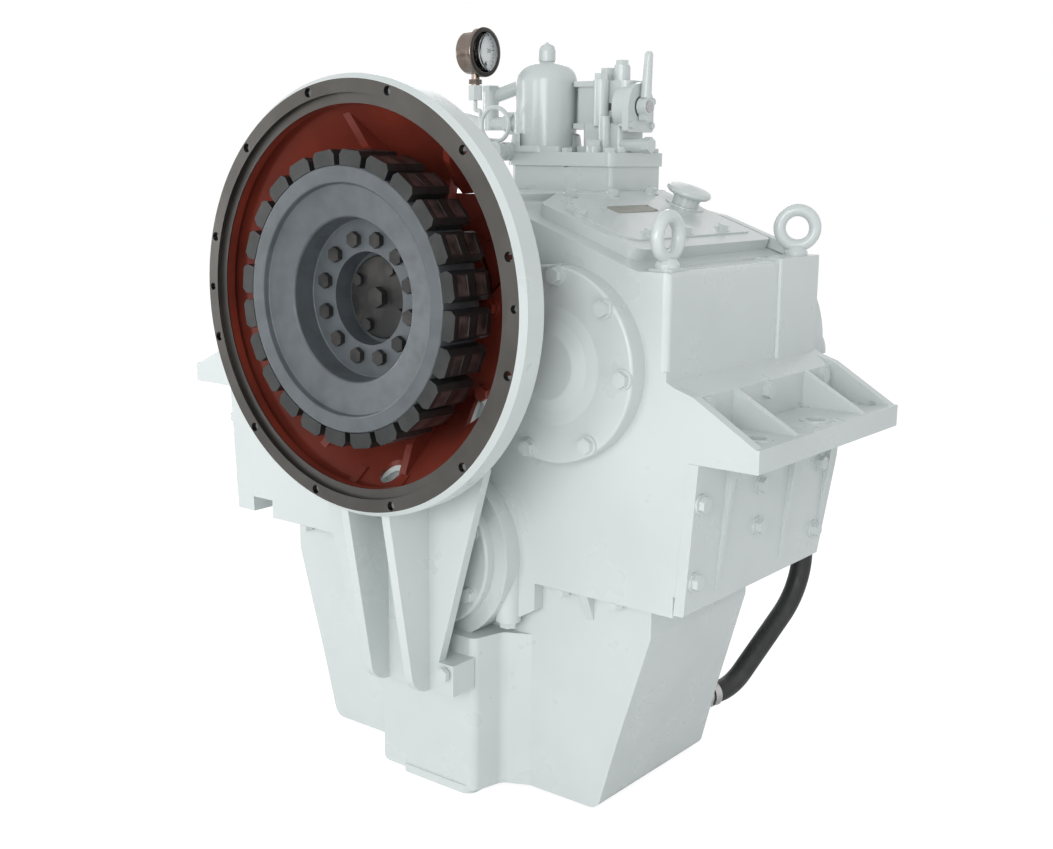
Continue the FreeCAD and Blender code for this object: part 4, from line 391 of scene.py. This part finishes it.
@dataclass(frozen=True)
class RubberFinish:
    """Moulded rubber with bloom; the blocks' outer faces have a sunk panel each."""

    name: str = "block_rubber"
    colour: Colour = (0.011, 0.012, 0.012)
    bloom: Colour = (0.024, 0.025, 0.0245)
    # Painted reflection: reddish tone laid on the sunk panels to stand for the red interior reflected in
    # them.
    lighter_tone: Colour = (0.070, 0.050, 0.046)
    roughness: float = 0.36
    blocks: int = 24
    phase_deg: float = 5.5
    panel_share: float = 0.26
    panel_half: float = 9.5 * MM
    row_middles: tuple[float, float] = (3.5 * MM, 36.8 * MM)
    face_radius: float = 186.5 * MM

    def panel(self, g: Graph) -> bpy.types.NodeSocket:
        """Soft-edged mask: angle from a block's middle and depth from a row's middle are both small.

        Args:
            g: Graph that takes the nodes.

        Returns:
            1 on a panel and 0 off it.
        """
        x, y, z = g.place()
        turn = g.math("SUBTRACT", g.math("DIVIDE", g.math("ARCTAN2", x, z), 2.0 * math.pi),
                      self.phase_deg / 360.0)
        cell = g.math("SUBTRACT", g.math("FRACT", g.math("ADD", g.math("MULTIPLY", turn, self.blocks),
                                                         self.blocks + 0.5)), 0.5)
        near = g.ramp(g.math("ABSOLUTE", cell), self.panel_share - 0.03, self.panel_share + 0.03, 1.0, 0.0)
        rows = [g.ramp(g.math("ABSOLUTE", g.math("SUBTRACT", y, middle)), self.panel_half - MM,
                       self.panel_half + MM, 1.0, 0.0)
                for middle in self.row_middles]
        outer = g.math("GREATER_THAN", g.radius(), self.face_radius)
        return g.math("MULTIPLY", g.math("MULTIPLY", near, outer), g.math("MAXIMUM", rows[0], rows[1]))

    def build(self) -> bpy.types.Material:
        """Dark rubber with a pale bloom in broad patches and a painted reddish reflection on the sunk panels.
        """
        g = Graph(self.name)
        colour = g.mix(g.ramp(g.noise(22.0, 5.0), 0.45, 0.75), self.colour, self.bloom)
        panel = self.panel(g)
        # Painted reddish reflection on the sunk panels, broken up by noise.
        colour = g.mix(g.math("MULTIPLY", panel, g.ramp(g.noise(60.0, 4.0), 0.35, 0.65)), colour, self.lighter_tone)
        rough = g.ramp(g.noise(120.0, 4.0), 0.3, 0.7, self.roughness - 0.06, self.roughness + 0.1)
        sunk = g.bump(g.math("SUBTRACT", 1.0, panel), 0.9, 0.0015)
        return g.finish(colour, rough, g.bump(g.noise(700.0, 2.0), 0.1, 0.0002, sunk),
                        Specular_IOR_Level=0.45)


@dataclass(frozen=True)
class PlainFinish:
    """Quiet coated surface for small parts."""

    name: str
    colour: Colour
    tint: Colour
    roughness: float = 0.5

    def build(self) -> bpy.types.Material:
        """Colour with slight variation and fine tooth."""
        g = Graph(self.name)
        colour = g.mix(g.ramp(g.noise(80.0, 4.0), 0.35, 0.65), self.colour, self.tint)
        return g.finish(colour, g.ramp(g.noise(150.0, 3.0), 0.3, 0.7, self.roughness - 0.05,
                                       self.roughness + 0.05),
                        g.bump(g.noise(900.0, 2.0), 0.06, 0.0001))


@dataclass(frozen=True)
class HoseFinish:
    """Black hose cover that keeps the marks of its wrapping cloth."""

    name: str = "hose_rubber"
    colour: Colour = (0.016, 0.016, 0.017)
    dust: Colour = (0.050, 0.049, 0.047)
    roughness: float = 0.46
    threads: float = 1500.0

    def build(self) -> bpy.types.Material:
        """Fine crossed ribs, the product of two sine waves, under patches of dust."""
        g = Graph(self.name)
        x, y, z = g.place()
        first = g.math("SINE", g.math("MULTIPLY", g.math("ADD", x, z), self.threads))
        second = g.math("SINE", g.math("MULTIPLY", g.math("SUBTRACT", y, z), self.threads))
        weave = g.bump(g.math("MULTIPLY", first, second), 0.25, 0.0003)
        colour = g.mix(g.ramp(g.noise(26.0, 5.0), 0.5, 0.8, 0.0, 0.8), self.colour, self.dust)
        return g.finish(colour, g.ramp(g.noise(90.0, 4.0), 0.3, 0.7, self.roughness - 0.08,
                                       self.roughness + 0.1), weave)


@dataclass(frozen=True)
class LensFinish:
    """Clear window glass with faint smears."""

    name: str = "window_glass"
    tint: Colour = (0.97, 0.985, 0.98)

    def build(self) -> bpy.types.Material:
        """Smooth transmission; the smears show in the roughness only."""
        g = Graph(self.name)
        smear = g.ramp(g.noise(70.0, 4.0), 0.45, 0.8, 0.0, 0.10)
        return g.finish(self.tint, smear, Transmission_Weight=1.0, IOR=1.2)


def grid_mesh(name: str, points: np.ndarray) -> bpy.types.Object:
    """Mesh of a grid of points whose second direction closes on itself; equal points are joined.

    Args:
        name: Name of the piece.
        points: Array of rows, columns and three coordinates in metres.

    Returns:
        The new object, shaded smooth.
    """
    rows, cols = points.shape[:2]
    index = np.arange(rows * cols).reshape(rows, cols)
    right = np.roll(index, -1, axis=1)
    quads = np.stack([index[:-1], right[:-1], right[1:], index[1:]], axis=-1).reshape(-1, 4)
    mesh = bpy.data.meshes.new(name)
    mesh.from_pydata(points.reshape(-1, 3).tolist(), [], quads.tolist())
    shell = bmesh.new()
    shell.from_mesh(mesh)
    bmesh.ops.remove_doubles(shell, verts=shell.verts, dist=SEAM)
    bmesh.ops.recalc_face_normals(shell, faces=shell.faces)
    shell.to_mesh(mesh)
    shell.free()
    mesh.validate()
    mesh.polygons.foreach_set("use_smooth", np.ones(len(mesh.polygons), dtype=bool))
    LOG.info("%s: %d points, %d faces", name, len(mesh.vertices), len(mesh.polygons))
    piece = bpy.data.objects.new(name, mesh)
    bpy.context.collection.objects.link(piece)
    return piece


@dataclass
class Turned:
    """Ring or disc turned about a line through a centre, from a profile of axial place and radius."""

    name: str
    centre: tuple[float, float, float]
    axis: tuple[float, float, float]
    profile: tuple[tuple[float, float], ...]
    steps: int = 72

    def build(self) -> bpy.types.Object:
        """Each profile point runs once round: centre + axis * place + radius * (cos, sin) square to it."""
        axis = np.array(self.axis) / np.linalg.norm(self.axis)
        side = np.cross(axis, Axis.Z.value if abs(axis[2]) < 0.9 else Axis.X.value)
        side = side / np.linalg.norm(side)
        other = np.cross(axis, side)
        angle = np.linspace(0.0, 2.0 * np.pi, self.steps, endpoint=False)
        round_way = np.cos(angle)[:, None] * side + np.sin(angle)[:, None] * other
        profile = np.array(self.profile)
        points = np.array(self.centre) + profile[:, 0, None, None] * axis + profile[:, 1, None,
                                                                                    None] * round_way
        return grid_mesh(self.name, points)


@dataclass
class PressureGauge:
    """Front ring, window, ticks and numbers of the gauge; its case, dial and hand are CAD nodes."""

    start_deg: float = 135.0
    sweep_deg: float = 270.0
    big_ticks: int = 5
    small_per_big: int = 5
    lift: float = 0.25 * MM
    number_size: float = 6.4 * MM
    tick_end: float = 0.90
    tick_start: tuple[float, float] = (0.74, 0.82)
    tick_half: tuple[float, float] = (0.55 * MM, 0.30 * MM)
    number_place: float = 0.56

    def direction(self, share: float) -> np.ndarray:
        """Unit vector on the dial for a share of the sweep.

        Args:
            share: 0 at the scale's start, 1 at its end.

        Returns:
            Direction as X, Y and Z.
        """
        turn = math.radians(self.start_deg - self.sweep_deg * share)
        return np.array([0.0, -math.sin(turn), math.cos(turn)])

    def ticks(self, centre: np.ndarray, radius: float) -> bpy.types.Object:
        """Scale marks as one mesh of thin bars.

        Args:
            centre: Centre of the dial's face.
            radius: Radius of the dial.

        Returns:
            The marks.
        """
        count = self.big_ticks * self.small_per_big + 1
        shares = np.linspace(0.0, 1.0, count)
        ways = np.stack([self.direction(v) for v in shares])
        sides = np.cross(ways, Axis.X.value)
        big = np.arange(count) % self.small_per_big == 0
        inner = np.where(big, *self.tick_start) * radius
        half = np.where(big, *self.tick_half)
        outer = self.tick_end * radius
        lift = np.array([self.lift, 0.0, 0.0])
        start, end, wide = ways * inner[:, None], ways * outer, sides * half[:, None]
        corners = np.stack([start - wide, start + wide, end + wide, end - wide], axis=1)
        low = centre + corners
        points = np.concatenate([low, low + lift], axis=1).reshape(-1, 3)
        box = np.array([[3, 2, 1, 0], [4, 5, 6, 7], [0, 1, 5, 4], [1, 2, 6, 5], [2, 3, 7, 6], [3, 0, 4, 7]])
        faces = (box[None] + 8 * np.arange(count)[:, None, None]).reshape(-1, 4)
        mesh = bpy.data.meshes.new("dial_ticks")
        mesh.from_pydata(points.tolist(), [], faces.tolist())
        piece = bpy.data.objects.new("dial_ticks", mesh)
        bpy.context.collection.objects.link(piece)
        LOG.info("dial_ticks: %d marks", count)
        return piece

    def number(self, text: str, place: np.ndarray) -> bpy.types.Object:
        """One figure on the dial, facing along +X.

        Args:
            text: Figure.
            place: Centre of the figure.

        Returns:
            The figure as a mesh at the origin.
        """
        data = bpy.data.curves.new("dial_number_" + text, "FONT")
        data.body = text
        data.size = self.number_size
        data.align_x = "CENTER"
        data.align_y = "CENTER"
        data.extrude = self.lift * 0.5
        data.resolution_u = 3
        source = bpy.data.objects.new("dial_number_source", data)
        mesh = bpy.data.meshes.new_from_object(source)
        bpy.data.objects.remove(source)
        bpy.data.curves.remove(data)
        turn = Matrix(((0.0, 0.0, 1.0), (1.0, 0.0, 0.0), (0.0, 1.0, 0.0))).to_4x4()
        mesh.transform(Matrix.Translation(Vector(place.tolist())) @ turn)
        mesh.materials.clear()
        piece = bpy.data.objects.new("dial_number_" + text, mesh)
        bpy.context.collection.objects.link(piece)
        LOG.info("dial_number_%s: %d faces", text, len(mesh.polygons))
        return piece

    def build(self, ink: bpy.types.Material, white: bpy.types.Material, rim: bpy.types.Material,
              glass: bpy.types.Material) -> None:
        """Make and seat the pieces.

        Args:
            ink: Finish of the marks.
            white: Finish of the ring within the case.
            rim: Finish of the front ring.
            glass: Finish of the window.
        """
        low, high = (np.array(v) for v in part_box("gauge_dial"))
        case_low, case_high = (np.array(v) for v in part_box("gauge_case"))
        centre = (low + high) / 2.0
        radius = (high[1] - low[1]) / 2.0
        face = np.array([high[0], centre[1], centre[2]])
        marks = self.ticks(face, radius)
        pieces = [(marks, ink, "needle_black")]
        for step in range(self.big_ticks + 1):
            way = self.direction(step / self.big_ticks)
            seat = face + way * self.number_place * radius + (self.lift * 0.5, 0.0, 0.0)
            pieces.append((self.number(str(self.small_per_big * step), seat), ink, "needle_black"))
        front = float(case_high[0]) - float(centre[0])
        middle = (float(centre[0]), float(centre[1]), float(centre[2]))
        ring = Turned("gauge_front_ring", middle, Axis.X.value,
                      ((front - 0.6 * MM, radius - 1.2 * MM), (front + 0.15 * MM, radius - 0.9 * MM),
                       (front + 0.3 * MM, radius + 1.0 * MM), (front + 0.3 * MM, radius + 4.0 * MM),
                       (front - 0.3 * MM, radius + 5.3 * MM), (front - 2.1 * MM, radius + 6.0 * MM),
                       (front - 2.1 * MM, radius + 5.7 * MM), (front - 0.6 * MM, radius - 1.2 * MM)))
        pieces.append((ring.build(), rim, "needle_black"))
        back = float(high[0]) - float(centre[0]) + 0.1 * MM
        cup = Turned("gauge_inner_ring", middle, Axis.X.value,
                     ((back, radius - 0.2 * MM), (front - 2.4 * MM, radius - 0.2 * MM),
                      (front - 2.4 * MM, radius - 0.9 * MM),
                      (back, radius - 1.3 * MM), (back, radius - 0.2 * MM)))
        pieces.append((cup.build(), white, "dial_white"))
        window = Turned("gauge_window", middle, Axis.X.value,
                        ((front - 2.2 * MM, 0.0), (front - 2.2 * MM, radius - 0.6 * MM),
                         (front - 0.7 * MM, radius - 0.6 * MM),
                         (front - 0.7 * MM, 0.0)))
        pieces.append((window.build(), glass, "dial_white"))
        for piece, finish, slot in pieces:
            piece.data.materials.append(finish)
            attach(piece, "housing")


@dataclass
class BarePlate:
    """Bare plate with its rivets where the cover carries one."""

    x: float = 164.0 * MM
    y_low: float = 336.0 * MM
    y_high: float = 438.0 * MM
    width: float = 24.0 * MM
    thick: float = 0.9 * MM
    rise: float = 10.0 * MM
    roof: tuple[float, float, float, float] = (90.0 * MM, 118.0 * MM, 74.0 / 215.0, 8.0 * MM)
    rivet_inset: float = 4.0 * MM

    def frame(self) -> tuple[np.ndarray, np.ndarray, np.ndarray]:
        """Middle of the seat, direction down the slope and direction square to it."""
        start, top, slope, seat = self.roof
        along = np.array([1.0, 0.0, -slope])
        along = along / np.linalg.norm(along)
        square = np.array([-along[2], 0.0, along[0]])
        middle = np.array([self.x, (self.y_low + self.y_high) / 2.0, top - (self.x - start) * slope + seat])
        return middle + square * self.rise, along, square

    def build(self, metal: bpy.types.Material) -> None:
        """A super-ellipse of power ten gives the plate's outline; two rings of it make its bevelled edge.

        Args:
            metal: Finish of plate and rivets.
        """
        middle, along, square = self.frame()
        angle = np.linspace(0.0, 2.0 * np.pi, 96, endpoint=False)
        cx = np.sign(np.cos(angle)) * np.abs(np.cos(angle)) ** 0.2
        cy = np.sign(np.sin(angle)) * np.abs(np.sin(angle)) ** 0.2
        half_y = (self.y_high - self.y_low) / 2.0
        rows = [np.repeat((middle - 0.2 * MM * square)[None], len(angle), axis=0)]
        for grow, height in ((0.0, -0.2 * MM), (0.0, self.thick - 0.2 * MM), (-0.3 * MM, self.thick),
                             (3.0 * MM - self.width / 2.0, self.thick)):
            u = cx * (self.width / 2.0 + grow)
            v = cy * (half_y + grow)
            rows.append(middle + u[:, None] * along + v[:, None] * np.array(Axis.Y.value) + height * square)
        rows.append(np.repeat((middle + self.thick * square)[None], len(angle), axis=0))
        plate = grid_mesh("bare_plate", np.stack(rows))
        pieces = [plate]
        for number, (u, v) in enumerate(((-1, -1), (-1, 1), (1, -1), (1, 1))):
            across = along * u * (self.width / 2.0 - self.rivet_inset)
            seat = middle + across + np.array(Axis.Y.value) * v * (half_y - self.rivet_inset)
            centre = tuple(float(c) for c in seat + square * self.thick)
            rim = tuple((1.3 * MM * math.sin(a), 2.2 * MM * math.cos(a)) for a in np.linspace(-0.1, 1.4, 7))
            dome = ((rim[0][0], 0.0), *rim, (1.3 * MM, 0.0))
            pieces.append(Turned(f"bare_plate_rivet_{number}", centre, tuple(square), dome, 16).build())
        for piece in pieces:
            piece.data.materials.append(metal)
            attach(piece, "housing")


@dataclass(frozen=True)
class Lamp:
    """One square area lamp: place and side in metres, power in watts."""

    name: str
    place: tuple[float, float, float]
    size: float
    power: float


@dataclass
class Photographer:
    """Camera at the photograph's view, floor and soft lights."""

    focal_px: float = 1358.094
    width_px: float = 1053.0
    sensor_mm: float = 36.0
    place_mm: tuple[float, float, float] = (1227.392, -1210.792, 183.854)
    azimuth: float = 37.899
    elevation: float = 11.272
    roll: float = 0.647
    floor_size: float = 14.0
    floor_glow: float = 1.21
    floor_glow_share: float = 0.74
    sky: Colour = (0.965, 0.98, 1.0)
    sky_strength: float = 0.68
    aim: tuple[float, float, float] = (0.0, 0.35, -0.15)
    lamps: tuple[Lamp, ...] = (
        Lamp("key_lamp", (1.6, -3.1, 0.7), 1.6, 52.0),
        Lamp("left_lamp", (-0.5, -3.6, 0.15), 1.2, 26.0),
        Lamp("low_left_lamp", (-3.1, -0.9, 0.1), 1.2, 27.0),
        Lamp("low_right_lamp", (3.0, -0.9, -0.6), 1.2, 9.0),
        Lamp("rear_lamp", (-2.2, 2.8, 1.2), 1.8, 30.0),
    )

    def camera(self) -> None:
        """Place the camera: it looks against the view direction, rolled about it."""
        a, e, r = (math.radians(v) for v in (self.azimuth, self.elevation, self.roll))
        back = Vector((math.sin(a) * math.cos(e), -math.cos(a) * math.cos(e), math.sin(e)))
        right = Vector((math.cos(a), math.sin(a), 0.0))
        up = back.cross(right)
        turned_right = right * math.cos(r) + up * math.sin(r)
        turned_up = back.cross(turned_right)
        data = bpy.data.cameras.new("photo_camera")
        data.sensor_width = self.sensor_mm
        data.lens = self.focal_px / self.width_px * self.sensor_mm
        data.clip_start = 0.05
        data.clip_end = 60.0
        camera = bpy.data.objects.new("photo_camera", data)
        bpy.context.collection.objects.link(camera)
        pose = Matrix((turned_right, turned_up, back)).transposed().to_4x4()
        pose.translation = Vector(self.place_mm) * MM
        camera.matrix_world = pose
        bpy.context.scene.camera = camera

    def light(self, lamp: Lamp) -> None:
        """Put up one lamp, aimed at the gearbox.

        Args:
            lamp: The lamp's name, place, size and power.
        """
        data = bpy.data.lights.new(lamp.name, "AREA")
        data.energy = lamp.power
        data.size = lamp.size
        piece = bpy.data.objects.new(lamp.name, data)
        bpy.context.collection.objects.link(piece)
        piece.location = lamp.place
        way = Vector(self.aim) - Vector(lamp.place)
        piece.rotation_euler = way.to_track_quat("-Z", "Y").to_euler()

    def floor(self, height: float) -> None:
        """Plain pale floor under the sump.

        Args:
            height: Height of the floor in metres.
        """
        s = self.floor_size / 2
        mesh = bpy.data.meshes.new("studio_floor")
        corners = np.array([[-s, -s, 0.0], [s, -s, 0.0], [s, s, 0.0], [-s, s, 0.0]])
        corners[:, 2] = height
        mesh.from_pydata(corners.tolist(), [], [(0, 1, 2, 3)])
        floor = bpy.data.objects.new("studio_floor", mesh)
        bpy.context.collection.objects.link(floor)
        material = bpy.data.materials.new("studio_floor")
        material.use_nodes = True
        nodes, links = material.node_tree.nodes, material.node_tree.links
        shader = nodes["Principled BSDF"]
        shader.inputs["Base Color"].default_value = (0.86, 0.86, 0.86, 1.0)
        shader.inputs["Roughness"].default_value = 0.9
        glow = nodes.new("ShaderNodeEmission")
        glow.inputs["Color"].default_value = (1.0, 1.0, 1.0, 1.0)
        glow.inputs["Strength"].default_value = self.floor_glow
        paths = nodes.new("ShaderNodeLightPath")
        share = nodes.new("ShaderNodeMath")
        share.operation = "MULTIPLY"
        share.inputs[1].default_value = self.floor_glow_share
        blend = nodes.new("ShaderNodeMixShader")
        links.new(paths.outputs["Is Camera Ray"], share.inputs[0])
        links.new(share.outputs[0], blend.inputs[0])
        links.new(shader.outputs[0], blend.inputs[1])
        links.new(glow.outputs[0], blend.inputs[2])
        links.new(blend.outputs[0], nodes["Material Output"].inputs["Surface"])
        mesh.materials.append(material)
        floor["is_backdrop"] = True

    def world(self) -> None:
        """White surroundings to camera, glossy and transmission rays and soft light on the part."""
        world = bpy.data.worlds.new("studio")
        bpy.context.scene.world = world
        world.use_nodes = True
        nodes, links = world.node_tree.nodes, world.node_tree.links
        soft = nodes["Background"]
        soft.inputs["Color"].default_value = (*self.sky, 1.0)
        soft.inputs["Strength"].default_value = self.sky_strength
        white = nodes.new("ShaderNodeBackground")
        white.inputs["Color"].default_value = (1.0, 1.0, 1.0, 1.0)
        paths = nodes.new("ShaderNodeLightPath")
        blend = nodes.new("ShaderNodeMixShader")
        seen = nodes.new("ShaderNodeMath")
        seen.operation = "MAXIMUM"
        links.new(paths.outputs["Is Camera Ray"], seen.inputs[0])
        links.new(paths.outputs["Is Transmission Ray"], seen.inputs[1])
        shown = nodes.new("ShaderNodeMath")
        shown.operation = "MAXIMUM"
        links.new(seen.outputs[0], shown.inputs[0])
        links.new(paths.outputs["Is Glossy Ray"], shown.inputs[1])
        links.new(shown.outputs[0], blend.inputs[0])
        links.new(soft.outputs[0], blend.inputs[1])
        links.new(white.outputs[0], blend.inputs[2])
        links.new(blend.outputs[0], nodes["World Output"].inputs["Surface"])

    def shoot(self, floor_z: float) -> None:
        """Build camera, floor and lights.

        Args:
            floor_z: Height of the floor in metres.
        """
        self.camera()
        self.floor(floor_z)
        self.world()
        for lamp in self.lamps:
            self.light(lamp)
        bpy.context.scene.view_settings.view_transform = "Standard"


def dress(node: str, material: bpy.types.Material) -> None:
    """Put one finish on a CAD node.

    Args:
        node: Node name.
        material: Finish.
    """
    mesh = frame["nodes"][node].data
    mesh.materials.clear()
    mesh.materials.append(material)


def main() -> None:
    """Dress the frame and set up the studio."""
    logging.basicConfig(level=logging.INFO, format="%(message)s")
    cad_low, cad_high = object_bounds()
    finishes = {
        "casing_paint": CasingFinish().build(),
        "machined_steel": SteelFinish("machined_steel", (0.45, 0.45, 0.46), (0.30, 0.29, 0.28)).build(),
        "slate_iron": SteelFinish("slate_iron", (0.088, 0.102, 0.111), (0.068, 0.078, 0.084), 0.46,
                                  0.2).build(),
        "dark_steel": SteelFinish("dark_steel", (0.020, 0.020, 0.020), (0.055, 0.052, 0.048), 0.36,
                                  0.4).build(),
        "rubber": RubberFinish().build(),
        "hose_rubber": HoseFinish().build(),
        "zinc_steel": SteelFinish("zinc_steel", (0.5, 0.5, 0.49), (0.36, 0.35, 0.33)).build(),
        "gauge_steel": SteelFinish("gauge_steel", (0.22, 0.18, 0.155), (0.15, 0.12, 0.10), 0.20).build(),
        "dial_white": PlainFinish("dial_white", (0.82, 0.84, 0.86), (0.78, 0.80, 0.82)).build(),
        "needle_black": PlainFinish("needle_black", (0.012, 0.012, 0.014), (0.02, 0.02, 0.02), 0.4).build(),
        "friction_bronze": SteelFinish("friction_bronze", (0.35, 0.22, 0.10), (0.25, 0.16, 0.08),
                                       0.55).build(),
        "filter_paper": PlainFinish("filter_paper", (0.55, 0.42, 0.25), (0.5, 0.37, 0.2), 0.8).build(),
    }
    for part in frame["record"]["subparts"]:
        dress(part["node"], finishes[part["material_slot"]])
        LOG.info("%s wears %s", part["node"], part["material_slot"])
    dress("bell_housing", BellFinish().build())
    ring = SteelFinish("gauge_ring_dark", (0.045, 0.042, 0.04), (0.08, 0.075, 0.07), 0.3, 0.8).build()
    PressureGauge().build(finishes["needle_black"], finishes["dial_white"], ring, LensFinish().build())
    plate = SteelFinish("plate_metal", (0.30, 0.30, 0.27), (0.22, 0.22, 0.20), 0.48, 0.5).build()
    BarePlate().build(plate)
    Photographer().shoot(cad_low.z)


if __name__ == "__main__":
    main()
